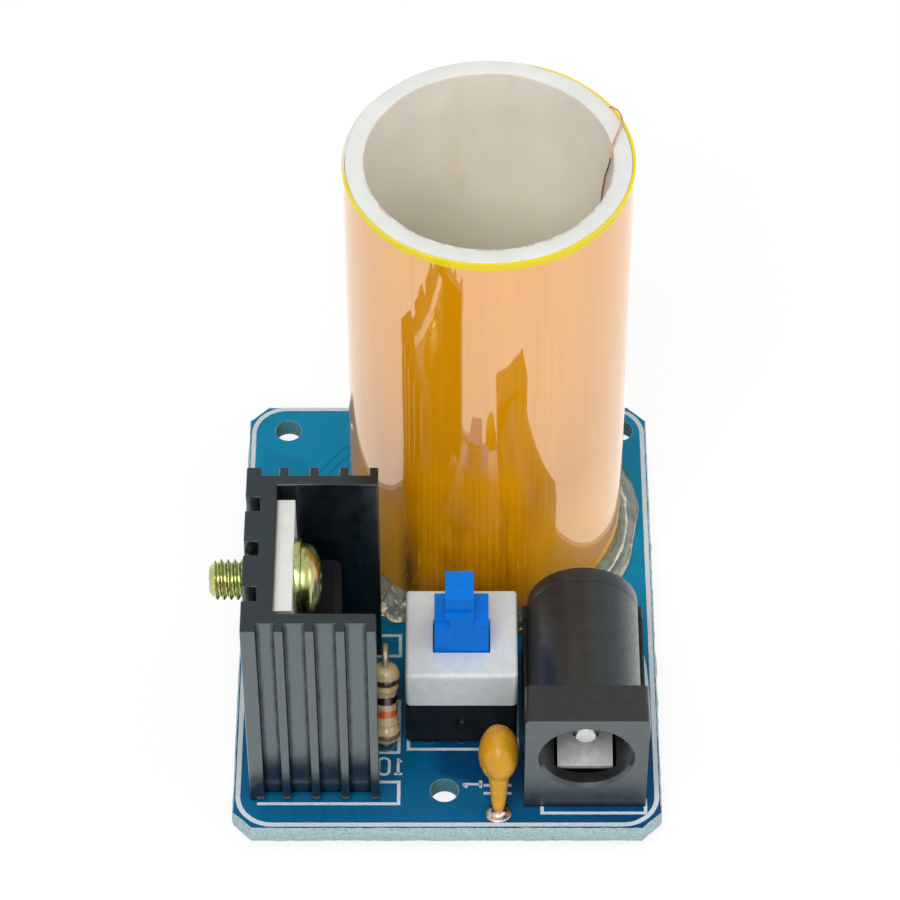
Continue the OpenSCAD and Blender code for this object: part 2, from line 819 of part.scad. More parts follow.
module resistor_leads() {
    r = resistor_lead_d / 2;
    end_z = -board_t - solder_h + lead_trim;
    color("#b8a878")
    on_board(resistor_x) {
        translate([0, resistor_y, end_z])
        cylinder(h = resistor_foot_z - end_z, r = r);
        translate([0, resistor_y, resistor_foot_z])
        sphere(r = r);
        translate([0, resistor_y, resistor_foot_z])
        rotate([-resistor_lean, 0, 0])
        cylinder(h = core_inset, r = r);
        translate([0, resistor_y, resistor_foot_z])
        rotate([-resistor_lean, 0, 0])
        translate([0, 0, resistor_l - core_inset])
        cylinder(h = core_inset + resistor_stub, r = r);
        translate([0, hairpin_y, hairpin_z])
        rotate([90, 0, 90])
        rotate_extrude(angle = 180 - resistor_lean)
        translate([hairpin_r, 0])
        circle(r);
        translate([0, resistor_rear_y, end_z])
        cylinder(h = hairpin_z - end_z, r = r);
    }
}

// ---------------------------------------------------------------- capacitor

module capacitor_wires(r) {
    for (s = [-1, 1]) {
        pad_y = s * capacitor_pitch / 2;
        knee = [0, pad_y, capacitor_knee_z];
        root = [0, s * capacitor_grip * capacitor_d / 2, capacitor_z - 0.6];
        rod([0, pad_y, -board_t - solder_h + lead_trim], knee, r, r);
        translate(knee)
        sphere(r = r);
        rod(knee, root, r, r);
    }
}

element_t = 1.2;
element_l = 2.4;
element_h = 1.9;
element_drop = 0.35;

module capacitor_element()
    color("#b08a5a")
    on_board(capacitor_x, capacitor_y, capacitor_z - element_drop)
    block([element_t, element_l, element_h]);

// Dipped body, turned about X, with the coating running down both leads.
module capacitor_body() {
    steps = 12;
    color("#d9a021")
    on_board(capacitor_x, capacitor_y)
    difference() {
        union() {
            translate([0, 0, capacitor_z])
            rotate([0, 90, 0])
            rotate_extrude()
            polygon([
                for (i = [0 : steps])
                    let (a = -90 + 180 * i / steps) [capacitor_d / 2 * cos(a), capacitor_t / 2 * sin(a)]
            ]);
            for (s = [-1, 1])
                rod([0, s * capacitor_pitch / 2, capacitor_knee_z],
                    [0, s * capacitor_grip * capacitor_d / 2, capacitor_z - 0.8], 0.33, 0.72);
        }
        capacitor_wires(capacitor_lead_d / 2 + fit_gap);
        translate([0, 0, capacitor_z - element_drop - fit_gap])
        block([element_t + 2 * fit_gap, element_l + 2 * fit_gap, element_h + 2 * fit_gap]);
    }
}

module capacitor_leads()
    color("#c9ccd0")
    on_board(capacitor_x, capacitor_y)
    capacitor_wires(capacitor_lead_d / 2);

// ---------------------------------------------------------------- push switch

module terminal_slots()
    for (spot = switch_spots)
        translate([spot.x - switch_x, spot.y - switch_y, -cut]) {
            block([terminal_w + 2 * fit_gap, terminal_t + 2 * fit_gap, switch_h]);
        }

module switch_base()
    color("#1e2226")
    on_board(switch_x, switch_y) {
        difference() {
            union() {
                translate([0, 0, switch_foot_h])
                linear_extrude(switch_base_h - switch_foot_h)
                rounded_rect(switch_w, switch_w, 0.4);
                linear_extrude(switch_base_h + spigot_h)
                difference() {
                    square([spigot_w, spigot_w], center = true);
                    square([switch_pocket_w, switch_pocket_l], center = true);
                }
                for (sx = [-1, 1], sy = [-1, 1])
                    translate([sx * (switch_w / 2 - 0.9), sy * (switch_w / 2 - 0.9), 0])
                    block([0.9, 0.9, switch_foot_h + overlap]);
            }
            translate([0, 0, -cut])
            linear_extrude(switch_foot_h + cut)
            difference() {
                square([spigot_w + cut, spigot_w + cut], center = true);
                for (sx = [-1, 1], sy = [-1, 1])
                    translate([sx * (switch_w / 2 - 0.9), sy * (switch_w / 2 - 0.9)])
                    square([0.9, 0.9], center = true);
            }
            translate([0, 0, switch_floor])
            block([switch_pocket_w, switch_pocket_l, switch_h]);
            terminal_slots();
            translate([latch_x - switch_x, 0, latch_pivot_z])
            rotate([0, 90, 0])
            cylinder(h = 1, d = latch_wire_d + 2 * latch_pivot_play);
            translate([0, -switch_w / 2, 2.6])
            sphere(d = 0.9);
        }
    }

// White cover: rounded outer edges and a window for the plunger.
module switch_cover() {
    h = switch_h - switch_base_h;
    r = 0.4;
    color("#d9dada")
    on_board(switch_x, switch_y, switch_base_h)
    difference() {
        intersection() {
            linear_extrude(h)
            rounded_rect(switch_w, switch_w, r);
            translate([0, switch_w / 2, 0])
            rotate([90, 0, 0])
            linear_extrude(switch_w)
            rounded_top(h, r);
            translate([-switch_w / 2, 0, 0])
            rotate([90, 0, 90])
            linear_extrude(switch_w)
            rounded_top(h, r);
        }
        translate([0, 0, -cut])
        block([switch_w - 2 * cover_wall, switch_w - 2 * cover_wall, h - cover_roof + cut]);
        translate([0, -plunger_offset, 0])
        block([plunger_w + 2 * plunger_play, plunger_l + 2 * plunger_play, h + cut]);
    }
}

module rounded_top(h, r) {
    translate([-switch_w / 2, 0])
    square([switch_w, h - r]);
    translate([r - switch_w / 2, 0])
    square([switch_w - 2 * r, h]);
    for (s = [-1, 1])
        translate([s * (switch_w / 2 - r), h - r])
        circle(r);
}

module cam_track()
    translate([cam_x, switch_y - cam_w / 2, cam_bottom])
    cube([4, cam_w, cam_top - cam_bottom]);

module switch_plunger() {
    neck = 0.35;
    groove_z = plunger_top + 1.1;
    groove_h = 0.6;
    step_w = 1.1;
    color("#0a6fd8")
    on_board()
    difference() {
        union() {
            translate([switch_x, plunger_y, shoulder_bottom + overlap])
            block([plunger_w, plunger_l, plunger_top - shoulder_bottom - overlap]);
            translate([switch_x - 0.15, plunger_y - (plunger_l - stem_l) / 2, plunger_top - overlap])
            block([stem_w, stem_l, stem_h + overlap]);
            translate([switch_x, switch_y, shoulder_bottom])
            block([shoulder_w, shoulder_l, shoulder_h]);
            for (s = [-1, 1])
                translate([switch_x, switch_y + s * (shoulder_l / 2 - 0.65), shoulder_bottom - rib_drop])
                block([3, 1.3, rib_drop + overlap]);
            translate([switch_x, switch_y, shoulder_bottom - spring_seat_h])
            cylinder(h = spring_seat_h + overlap, d = spring_seat_d);
            translate([cam_x - 0.2, switch_y - cam_w / 2 - 0.4, cam_bottom - 0.4])
            cube([0.75, cam_w + 0.8, shoulder_bottom - cam_bottom + 0.4 + overlap]);
        }
        cam_track();
        for (s = [-1, 1])
            translate([switch_x - 0.15, plunger_y - (plunger_l - stem_l) / 2 + s * stem_l / 2, groove_z])
            block([stem_w + 2 * cut, 2 * neck, groove_h]);
        translate([switch_x - plunger_w / 2 - cut, plunger_y - plunger_l / 2 - cut, plunger_top - 0.55])
        cube([step_w + cut, 0.6 + cut, 1]);
    }
}

// Springy bridges carried by the plunger, one for each row of terminals.
module switch_contact_clips()
    color("#c8a24a")
    on_board(switch_x, switch_y, shoulder_bottom - rib_drop + 0.2)
    for (s = [-1, 1])
        translate([0, s * (shoulder_l / 2 + fit_gap + clip_t / 2), 0])
        block([2 * terminal_pitch + 0.5, clip_t, clip_h]);

module switch_terminals()
    color("#c9ccd0")
    on_board()
    for (spot = switch_spots)
        translate([spot.x, spot.y, -board_t - solder_h + lead_trim])
        block([terminal_w, terminal_t, (spot.x > switch_x + 1 ? short_terminal_top : terminal_top)
            + board_t + solder_h - lead_trim]);

module switch_return_spring() {
    low = switch_floor + spring_end_gap + spring_wire_d / 2;
    high = shoulder_bottom - spring_end_gap - spring_wire_d / 2;
    coil_r = (spring_d - spring_wire_d) / 2;
    steps = 12 * spring_turns;
    color("#9a9da0")
    on_board(switch_x, switch_y)
    swept_tube([
        for (i = [0 : steps])
            let (a = 360 * spring_turns * i / steps)
                [coil_r * cos(a), coil_r * sin(a), low + (high - low) * i / steps]
    ], spring_wire_d, [0, 0, 1], 6);
}

// Bent wire that rides in the plunger's cam: foot pivots in the base wall, hook reaches into the cam.
module switch_latch_pin() {
    r = latch_wire_d / 2;
    foot_end = switch_x + switch_pocket_w / 2 + 0.55;
    hook_end = cam_x + 0.12;
    color("#9a9da0")
    on_board(0, switch_y) {
        translate([latch_x, 0, latch_pivot_z])
        cylinder(h = latch_hook_z - latch_pivot_z, r = r);
        for (z = [latch_pivot_z, latch_hook_z])
            translate([latch_x, 0, z])
            sphere(r = r);
        translate([latch_x, 0, latch_pivot_z])
        rotate([0, 90, 0])
        cylinder(h = foot_end - latch_x, r = r);
        translate([hook_end, 0, latch_hook_z])
        rotate([0, 90, 0])
        cylinder(h = latch_x - hook_end, r = r);
    }
}

// ---------------------------------------------------------------- power socket

// Cross-section of the socket behind the flange: square below, round on top.
module barrel_outline() {
    translate([-socket_w / 2, 0])
    square([socket_w, ledge_z]);
    translate([0, socket_axis_z])
    circle(barrel_r);
}

// Extrudes its children's outline along +Y, from y = 0.
module along_y(length)
    translate([0, length, 0])
    rotate([90, 0, 0])
    linear_extrude(length)
    children();

module flange_outline() {
    r = 0.4;
    translate([-socket_w / 2, 0])
    square([socket_w, socket_h - r]);
    translate([r - socket_w / 2, 0])
    square([socket_w - 2 * r, socket_h]);
    for (s = [-1, 1])
        translate([s * (socket_w / 2 - r), socket_h - r])
        circle(r);
}

module socket_housing() {
    back = socket_l - rear_cover_t;
    color("#26272a")
    on_board(socket_x, socket_y)
    difference() {
        union() {
            along_y(flange_t)
            flange_outline();
            translate([0, flange_t - overlap, 0])
            along_y(back - flange_t + overlap)
            barrel_outline();
        }
        translate([0, -cut, socket_axis_z])
        rotate([-90, 0, 0])
        cylinder(h = socket_bore_l + cut, d = socket_bore_d);
        translate([0, -cut, socket_axis_z])
        rotate([-90, 0, 0])
        cylinder(h = 0.3, d1 = socket_mouth_d, d2 = socket_bore_d);
        translate([0, socket_bore_l - cut, socket_axis_z])
        rotate([-90, 0, 0])
        cylinder(h = socket_l, d = pin_d + 2 * fit_gap);
        // room for the leaf contact and its root
        translate([-leaf_slot_w / 2, leaf_lip_y - socket_y - 0.5, leaf_slot_bottom])
        cube([leaf_slot_w, sleeve_leg_y - leaf_lip_y + 1, socket_axis_z - leaf_slot_bottom]);
        translate([-leg_w / 2 - fit_gap, sleeve_leg_y - socket_y - leg_t / 2 - fit_gap, -cut])
        cube([leg_w + 2 * fit_gap, leg_t + 2 * fit_gap, leaf_slot_bottom + 2 * cut]);
        // slot for the break contact
        translate([break_leg_x - socket_x, break_leg_y - socket_y, -cut])
        block([leg_t + 2 * fit_gap, leg_w + 2 * fit_gap, break_z + break_t + fit_gap + cut]);
        translate([break_leg_x - socket_x, break_leg_y - socket_y - break_strip_w / 2 - fit_gap, break_z - fit_gap])
        cube([break_reach, break_strip_w + 2 * fit_gap, break_t + 2 * fit_gap]);
        // rear pocket for the pin's plate
        translate([-leg_w / 2 - fit_gap, pin_plate_y - socket_y - fit_gap, -cut])
        cube([leg_w + 2 * fit_gap, back, socket_axis_z + pin_d]);
    }
}

module socket_rear_cover()
    color("#232427")
    on_board(socket_x, seam_y + fit_gap)
    along_y(rear_cover_t - fit_gap)
    barrel_outline();

module socket_center_pin()
    color("#d4d6d8")
    on_board(socket_x) {
        translate([0, socket_y + pin_setback + 0.3, socket_axis_z])
        rotate([-90, 0, 0])
        cylinder(h = pin_plate_y - socket_y - pin_setback - 0.3 + overlap, d = pin_d);
        translate([0, socket_y + pin_setback, socket_axis_z])
        rotate([-90, 0, 0])
        cylinder(h = 0.3 + cut, d1 = pin_d * 0.72, d2 = pin_d);
        translate([-leg_w / 2, pin_plate_y, -board_t - solder_h + lead_trim])
        cube([leg_w, pin_plate_t, socket_axis_z + pin_d / 2 + 0.5 + board_t + solder_h - lead_trim]);
    }

// Leaf that presses up on a plug: lip at the mouth, crest, and a rolled root round its hinge line.
module socket_leaf_contact()
    color("#b9b6ae")
    on_board(socket_x)
    difference() {
        union() {
            translate([-leaf_w / 2, leaf_hinge_y, leaf_hinge_z])
            rotate([0, 90, 0])
            cylinder(h = leaf_w, d = leaf_hinge_d + 2 * leaf_t + 2 * leaf_play);
            rotate([90, 0, 90])
            translate([0, 0, -leaf_w / 2])
            linear_extrude(leaf_w)
            polygon([
                [leaf_lip_y, leaf_lip_z - leaf_t], [leaf_lip_y, leaf_lip_z],
                [leaf_crest_y - 0.4, leaf_crest_z - 0.05], [leaf_crest_y, leaf_crest_z],
                [leaf_crest_y + 0.4, leaf_crest_z - 0.08],
                [leaf_hinge_y + 0.2, leaf_hinge_z + leaf_hinge_d / 2 + leaf_play + leaf_t],
                [leaf_hinge_y - 0.2, leaf_hinge_z + leaf_hinge_d / 2 + leaf_play],
                [leaf_crest_y + 0.25, leaf_crest_z - leaf_t - 0.1],
                [leaf_crest_y - 0.25, leaf_crest_z - leaf_t - 0.03]
            ]);
        }
        translate([-leaf_w, leaf_hinge_y, leaf_hinge_z])
        rotate([0, 90, 0])
        cylinder(h = 2 * leaf_w, d = leaf_hinge_d + 2 * leaf_play);
    }

// Fixed root of the leaf: the rolled bar that it springs from, with its leg into the board.
module socket_sleeve_terminal()
    color("#b0ada5")
    on_board(socket_x) {
        translate([-leaf_w / 2 - 0.2, leaf_hinge_y, leaf_hinge_z])
        rotate([0, 90, 0])
        cylinder(h = leaf_w + 0.4, d = leaf_hinge_d);
        for (s = [-1, 1])
            translate([s * (leaf_w / 2 + 0.125) - 0.075, leaf_hinge_y - leaf_hinge_d / 2, leaf_slot_bottom])
            cube([0.15, sleeve_leg_y - leaf_hinge_y + leaf_hinge_d / 2 + leg_t / 2, leaf_hinge_z - leaf_slot_bottom]);
        translate([-leaf_w / 2 - 0.2, sleeve_leg_y - leg_t / 2, leaf_slot_bottom])
        cube([leaf_w + 0.4, leg_t, leaf_hinge_z - leaf_slot_bottom]);
        translate([-leg_w / 2, sleeve_leg_y - leg_t / 2, -board_t - solder_h + lead_trim])
        cube([leg_w, leg_t, board_t + solder_h + leaf_slot_bottom]);
    }

// Strip that opens from the leaf when a plug goes in.
module socket_break_terminal()
    color("#b0ada5")
    on_board() {
        translate([break_leg_x, break_leg_y, -board_t - solder_h + lead_trim])
        block([leg_t, leg_w, break_z + break_t + board_t + solder_h - lead_trim]);
        translate([break_leg_x, break_leg_y - break_strip_w / 2, break_z])
        cube([break_reach, break_strip_w, break_t]);
    }

circuit_board();
primary_coil();
component_pads();
solder_joints();
coil_former();
secondary_winding();
insulation_film();
winding_top_lead();
winding_bottom_lead();
glue_bead();
heat_sink();
transistor_tab();
transistor_body();
transistor_leads();
transistor_die();
clamp_screw();
screw_washer();
resistor_body();
resistor_core();
resistor_leads();
capacitor_body();
capacitor_element();
capacitor_leads();
switch_base();
switch_cover();
switch_plunger();
switch_contact_clips();
switch_return_spring();
switch_latch_pin();
switch_terminals();
socket_housing();
socket_rear_cover();
socket_center_pin();
socket_leaf_contact();
socket_sleeve_terminal();
socket_break_terminal();
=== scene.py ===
import math

import bmesh
import bpy
from mathutils import Matrix, Vector, noise


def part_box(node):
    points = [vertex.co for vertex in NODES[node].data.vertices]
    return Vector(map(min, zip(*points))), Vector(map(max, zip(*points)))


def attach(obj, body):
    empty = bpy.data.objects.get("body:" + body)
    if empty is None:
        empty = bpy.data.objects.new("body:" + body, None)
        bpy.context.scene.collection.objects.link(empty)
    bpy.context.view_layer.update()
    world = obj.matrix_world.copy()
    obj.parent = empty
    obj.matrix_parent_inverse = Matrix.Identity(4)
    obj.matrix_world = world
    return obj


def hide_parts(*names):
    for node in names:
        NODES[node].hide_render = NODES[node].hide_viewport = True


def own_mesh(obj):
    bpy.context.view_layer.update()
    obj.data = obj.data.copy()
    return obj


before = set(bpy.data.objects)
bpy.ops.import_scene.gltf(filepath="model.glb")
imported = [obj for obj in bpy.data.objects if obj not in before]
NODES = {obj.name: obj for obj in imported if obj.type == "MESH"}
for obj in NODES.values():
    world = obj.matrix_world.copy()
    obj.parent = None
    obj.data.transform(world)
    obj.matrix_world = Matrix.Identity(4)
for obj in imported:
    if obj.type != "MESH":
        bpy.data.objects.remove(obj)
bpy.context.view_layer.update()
MM = 0.001

# The board's upper face is the reference plane; its centre is the layout's origin.
board_lo, board_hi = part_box("circuit_board")
BX = (board_lo.x + board_hi.x) / 2
BZ = board_hi.z
BT = (board_hi.z - board_lo.z) / MM
HALF_W = (board_hi.x - board_lo.x) / 2 / MM
HALF_L = (board_hi.y - board_lo.y) / 2 / MM


def at(x, y, z=0.0):
    """A point given in millimetres from the centre of the board's upper face."""
    return Vector((BX + x * MM, y * MM, BZ + z * MM))


def span(node):
    """A node's box in millimetres from the centre of the board's upper face."""
    lo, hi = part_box(node)
    origin = Vector((BX, 0, BZ))
    return (lo - origin) / MM, (hi - origin) / MM


# ---- materials

def add_node(tree, kind, inputs=None, **props):
    """Adds a shader node; each input takes a constant or another node's output socket."""
    n = tree.nodes.new(kind)
    for k, v in props.items():
        setattr(n, k, v)
    for key, value in (inputs or {}).items():
        if isinstance(value, bpy.types.NodeSocket):
            tree.links.new(value, n.inputs[key])
        else:
            n.inputs[key].default_value = value
    return n


class Graph:
    """A new material round one Principled shader, with helpers that add and link its nodes."""

    PLAIN = {"metallic": "Metallic", "ior": "IOR", "coat": "Coat Weight", "coat_rough": "Coat Roughness",
             "transmission": "Transmission Weight", "spec": "Specular IOR Level",
             "sss": "Subsurface Weight", "sss_scale": "Subsurface Scale"}

    def __init__(self, name):
        self.material = bpy.data.materials.new(name)
        self.material.use_nodes = True
        self.tree = self.material.node_tree
        self.tree.nodes.clear()
        self.bsdf = self.add("ShaderNodeBsdfPrincipled")
        self.add("ShaderNodeOutputMaterial", {"Surface": self.bsdf.outputs[0]})
        self.coords = self.add("ShaderNodeTexCoord").outputs["Object"]

    def add(self, kind, inputs=None, **props):
        return add_node(self.tree, kind, inputs, **props)

    def math(self, op, a, b=0.0):
        return self.add("ShaderNodeMath", {0: a, 1: b}, operation=op).outputs[0]

    def times(self, a, b):
        return self.math("MULTIPLY", a, b)

    def plus(self, a, b):
        return self.math("ADD", a, b)

    def minus(self, a, b):
        return self.math("SUBTRACT", a, b)

    def scaled(self, factors, coords=None):
        return self.add("ShaderNodeMapping", {"Scale": factors, "Vector": coords or self.coords}).outputs[0]

    def noise(self, scale, detail=3.0, rough=0.5, coords=None, distortion=0.0):
        return self.add("ShaderNodeTexNoise", {"Scale": scale, "Detail": detail, "Roughness": rough,
                                               "Distortion": distortion,
                                               "Vector": coords or self.coords}).outputs["Fac"]

    def cells(self, scale):
        return self.add("ShaderNodeTexVoronoi", {"Scale": scale, "Vector": self.coords}).outputs["Distance"]

    def remap(self, value, a, b, lo=0.0, hi=1.0):
        return self.add("ShaderNodeMapRange", dict(enumerate((value, a, b, lo, hi))), clamp=True).outputs[0]

    def mix(self, fac, a, b):
        """Blends a, a socket or a colour, towards the colour or socket b."""
        a, b = (c if isinstance(c, bpy.types.NodeSocket) else (*c[:3], 1.0) for c in (a, b))
        return self.add("ShaderNodeMix", {"Factor": fac, 6: a, 7: b}, data_type="RGBA").outputs[2]

    def axes(self, coords=None):
        return self.add("ShaderNodeSeparateXYZ", {0: coords or self.coords}).outputs

    def bump(self, height, strength, distance, below=None):
        inputs = {"Strength": strength, "Distance": distance, "Height": height}
        if below is not None:
            inputs["Normal"] = below
        return self.add("ShaderNodeBump", inputs).outputs[0]

    def surface(self, colour, rough, normal, **plain):
        """Links the three detailed inputs, sets the plain ones and returns the finished material."""
        for name, value in (("Base Color", colour), ("Roughness", rough), ("Normal", normal)):
            self.tree.links.new(value, self.bsdf.inputs[name])
        for k, v in plain.items():
            self.bsdf.inputs[self.PLAIN[k]].default_value = v
        return self.material

    def specular(self, level):
        self.tree.links.new(level, self.bsdf.inputs["Specular IOR Level"])


def finish_surface(name, light, dark, blotch=900.0, grain=9000.0, rough=(0.35, 0.5), bump=0.15,
                   bump_mm=0.01, specks=None, gloss=None, **plain):
    """A moulded, coated or plated surface: two close tones in blotches, with a fine grain in the relief.

    gloss gives the specular level of upright faces and of faces that look up; corners lose their gloss as painted
    shade.
    """
    g = Graph(name)
    tone = g.noise(blotch, 4.0, 0.6)
    colour = g.mix(g.remap(tone, 0.35, 0.65), dark, light)
    if specks:
        spot_scale, spot_colour, share = specks
        spots = g.remap(g.cells(spot_scale), share, share * 0.6)
        colour = g.mix(g.times(spots, g.remap(g.noise(spot_scale * 0.21), 0.55, 0.6)), colour, spot_colour)
    if gloss:
        facing = g.axes(g.add("ShaderNodeNewGeometry").outputs["Normal"])[2]
        # painted shade: no gloss in the corners, so they render as dark lines
        painted_corner_shade = g.add("ShaderNodeAmbientOcclusion", {"Distance": 0.60 * MM}, samples=8)
        edge = g.plus(painted_corner_shade.outputs["AO"], g.times(g.minus(g.noise(1100.0, 3.0), 0.5), 0.2))
        g.specular(g.times(g.remap(facing, 0.35, 0.85, *gloss), g.remap(edge, 0.66, 0.82)))
        g.bsdf.inputs["Specular Tint"].default_value = (0.80, 0.96, 1.0, 1.0)
    return g.surface(colour, g.remap(g.noise(blotch * 2.3, 3.0), 0.3, 0.7, *rough),
                     g.bump(g.noise(grain, 2.0, 0.6), bump, bump_mm * MM), **plain)


def metal_surface(name, light, dark, streak=(1.0, 1.0, 1.0), blotch=2500.0, rough=(0.25, 0.45), bump=0.2,
                  stain=None, metallic=1.0):
    """Plated or bare metal: drawn streaks along one axis, cloudy tone and optional tarnish."""
    g = Graph(name)
    lines = g.noise(9000.0, 2.0, 0.6, coords=g.scaled(streak))
    cloud = g.noise(blotch, 4.0, 0.6)
    colour = g.mix(g.remap(cloud, 0.3, 0.7), dark, light)
    if stain:
        stain_colour, stain_scale, low, high = stain
        colour = g.mix(g.remap(g.noise(stain_scale, 5.0, 0.7), low, high), colour, stain_colour)
    uneven = g.plus(g.times(lines, 0.5), g.times(cloud, 0.5))
    return g.surface(colour, g.remap(uneven, 0.3, 0.7, *rough), g.bump(lines, bump, 0.01 * MM), metallic=metallic)


FILM_R = 10.45


def film_material(axis, winding_top_z):
    """Clear amber tape over close-wound wire: turns and lengthwise folds show through, bare tube above them."""
    g = Graph("amber_film")
    x, y, z = g.axes()
    angle = g.math("ARCTAN2", g.minus(y, axis.y), g.minus(x, axis.x))
    arc = g.times(angle, FILM_R)
    z_mm = g.math("DIVIDE", z, MM)
    unrolled = g.add("ShaderNodeCombineXYZ", {0: arc, 1: z_mm}).outputs[0]

    def flat_noise(across, up, detail, rough):
        """Noise on the film laid flat."""
        return g.noise(1.0, detail, rough, coords=g.scaled((across, up, 1.0), unrolled))

    turns = g.math("SINE", g.times(z_mm, 2 * math.pi / 0.26))
    drift = flat_noise(0.9, 0.02, 2.0, 0.5)
    ribs = g.math("SINE", g.times(g.plus(arc, g.times(drift, 0.8)),
                                 2 * math.pi / 0.52))
    streaks = flat_noise(4.5, 0.05, 3.0, 0.6)
    broad = flat_noise(0.30, 0.03, 2.0, 0.5)
    mottle = flat_noise(3.0, 6.0, 5.0, 0.7)
    z_tone = g.remap(z_mm, 6.0, 30.0)
    colour = g.mix(z_tone, (0.64, 0.250, 0.001), (0.82, 0.325, 0.001))
    colour = g.mix(g.times(g.remap(broad, 0.42, 0.62), 0.30), colour, (0.92, 0.42, 0.004))
    colour = g.mix(g.times(g.remap(streaks, 0.50, 0.36), 0.13), colour, (0.42, 0.15, 0.001))
    from_front = g.plus(arc, FILM_R * math.pi / 2)
    front = g.remap(g.math("ABSOLUTE", from_front), 7.5, 5.5)
    soak = flat_noise(0.55, 0.10, 4.0, 0.6)
    soak = g.times(g.remap(soak, 0.47, 0.62), g.remap(z_mm, 20.0, 9.0, 0.0, 0.5))
    colour = g.mix(g.times(soak, front), colour, (0.24, 0.085, 0.001))
    # a dark patch low on the tape's left front, at a fixed place
    dark_patch = g.math("ABSOLUTE", g.plus(g.plus(from_front, 6.3), g.times(drift, 0.8)))
    dark_patch = g.times(g.remap(dark_patch, 1.5, 0.6), g.remap(z_mm, 13.0, 8.0))
    colour = g.mix(g.times(dark_patch, 0.75), colour, (0.06, 0.022, 0.006))
    # painted highlights: bright gold glints low on the tape
    painted_glints = flat_noise(2.4, 0.35, 4.0, 0.7)
    colour = g.mix(g.times(g.remap(painted_glints, 0.55, 0.66), g.remap(z_mm, 20.0, 10.0, 0.0, 0.6)), colour,
                   (0.86, 0.45, 0.012))
    net = g.math("MAXIMUM", g.remap(ribs, 0.25, 1.0), g.times(g.remap(turns, 0.1, 1.0), 0.55))
    shows = g.times(g.times(g.remap(z_mm, 10.0, 22.0, 0.55, 0.04), g.remap(front, 0.0, 1.0, 0.3, 1.0)),
                    g.remap(mottle, 0.3, 0.6, 0.35, 1.0))
    colour = g.mix(g.times(net, shows), colour, (0.34, 0.12, 0.001))
    foot = g.remap(z_mm, 13.0, 5.0)
    patches = g.remap(mottle, 0.50, 0.62)
    colour = g.mix(g.times(foot, g.times(patches, 0.35)), colour, (0.22, 0.075, 0.002))
    # painted light: the low sides of the tape are brightened, for the light that comes through the tube
    painted_side_light = g.math("MAXIMUM", g.remap(from_front, 2.0, 4.0), g.remap(from_front, -6.4, -7.4))
    painted_side_light = g.times(painted_side_light, g.remap(z_mm, 18.0, 12.0, 0.0, 0.85))
    colour = g.mix(painted_side_light, colour, (0.97, 0.42, 0.003))
    rim = g.remap(g.plus(z_mm, g.times(g.noise(1.2, 3.0, coords=unrolled), 0.3)),
                  winding_top_z / MM + 0.26, winding_top_z / MM + 0.38)
    # the stray edge of the tape is yellow, but clear at the back left
    side = g.remap(g.math("COSINE", g.plus(angle, math.pi / 4)), -0.80, -0.55)
    colour = g.mix(rim, colour, g.mix(side, (0.80, 0.79, 0.72), (0.86, 0.69, 0.012)))
    # less gloss in three fixed zones low down: the photograph shows hardly any mirror image there
    dull = g.times(g.remap(z_mm, 22.5, 19.5),
                  g.remap(g.math("ABSOLUTE", g.plus(from_front, 2.0)), 5.0, 4.2))
    left = g.times(g.remap(z_mm, 16.0, 14.5),
                  g.remap(g.math("COSINE", g.minus(angle, math.radians(208))), 0.80, 0.90))
    dull = g.math("MAXIMUM", dull, g.times(left, 0.8))
    dull = g.math("MAXIMUM", dull, g.remap(z_mm, 5.5, 3.5, 0.0, 0.6))
    g.specular(g.times(g.remap(rim, 0.0, 1.0, 0.5, 0.05), g.remap(dull, 0.0, 1.0, 1.0, 0.08)))
    fine = g.bump(g.plus(g.times(ribs, 0.05), streaks), 0.04, 0.02 * MM)
    return g.surface(colour, g.remap(mottle, 0.3, 0.7, 0.018, 0.038),
                     g.bump(flat_noise(0.5, 0.16, 2.0, 0.5), 0.06, 0.08 * MM, fine), ior=2.25)


def former_material(axis, wall_r, top):
    """White pipe plastic: clean on its sawn end; down the bore it is warmer and, deep down, brighter, painted light for
    the light inside the tube.
    """
    g = Graph("former_plastic")
    x, y, z = g.axes()
    dx, dy = g.minus(x, axis.x), g.minus(y, axis.y)
    r = g.math("DIVIDE", g.math("SQRT", g.plus(g.times(dx, dx), g.times(dy, dy))), MM)
    cloud = g.remap(g.noise(240.0, 4.0, 0.6), 0.35, 0.65)
    face = g.mix(cloud, (0.74, 0.745, 0.71), (0.79, 0.795, 0.765))
    bore = g.mix(cloud, (0.745, 0.705, 0.62), (0.785, 0.745, 0.66))
    # painted light: the bore turns brighter from 4 to 20 mm below the top
    bore = g.mix(g.remap(z, top - 0.004, top - 0.020), bore, (0.97, 0.92, 0.78))
    stain = g.remap(g.noise(1.0, 4.0, 0.6, coords=g.scaled((260.0, 260.0, 60.0))), 0.62, 0.72)
    bore = g.mix(g.times(stain, 0.18), bore, (0.70, 0.60, 0.40))
    colour = g.mix(g.remap(r, wall_r + 0.03, wall_r + 0.09), bore, face)
    burr = g.times(g.remap(r, wall_r + 0.28, wall_r + 0.14), g.remap(g.noise(1500.0, 3.0), 0.44, 0.56))
    burr = g.times(burr, g.remap(z, top - 0.00030, top - 0.00018))
    burr = g.times(burr, g.remap(dy, 0.001, -0.005))
    colour = g.mix(g.times(burr, 0.6), colour, (0.52, 0.36, 0.25))
    return g.surface(colour, g.remap(cloud, 0.0, 1.0, 0.38, 0.5),
                     g.bump(g.noise(4200.0, 3.0), 0.15, 0.02 * MM), sss=0.15, sss_scale=0.0012, spec=0.3)


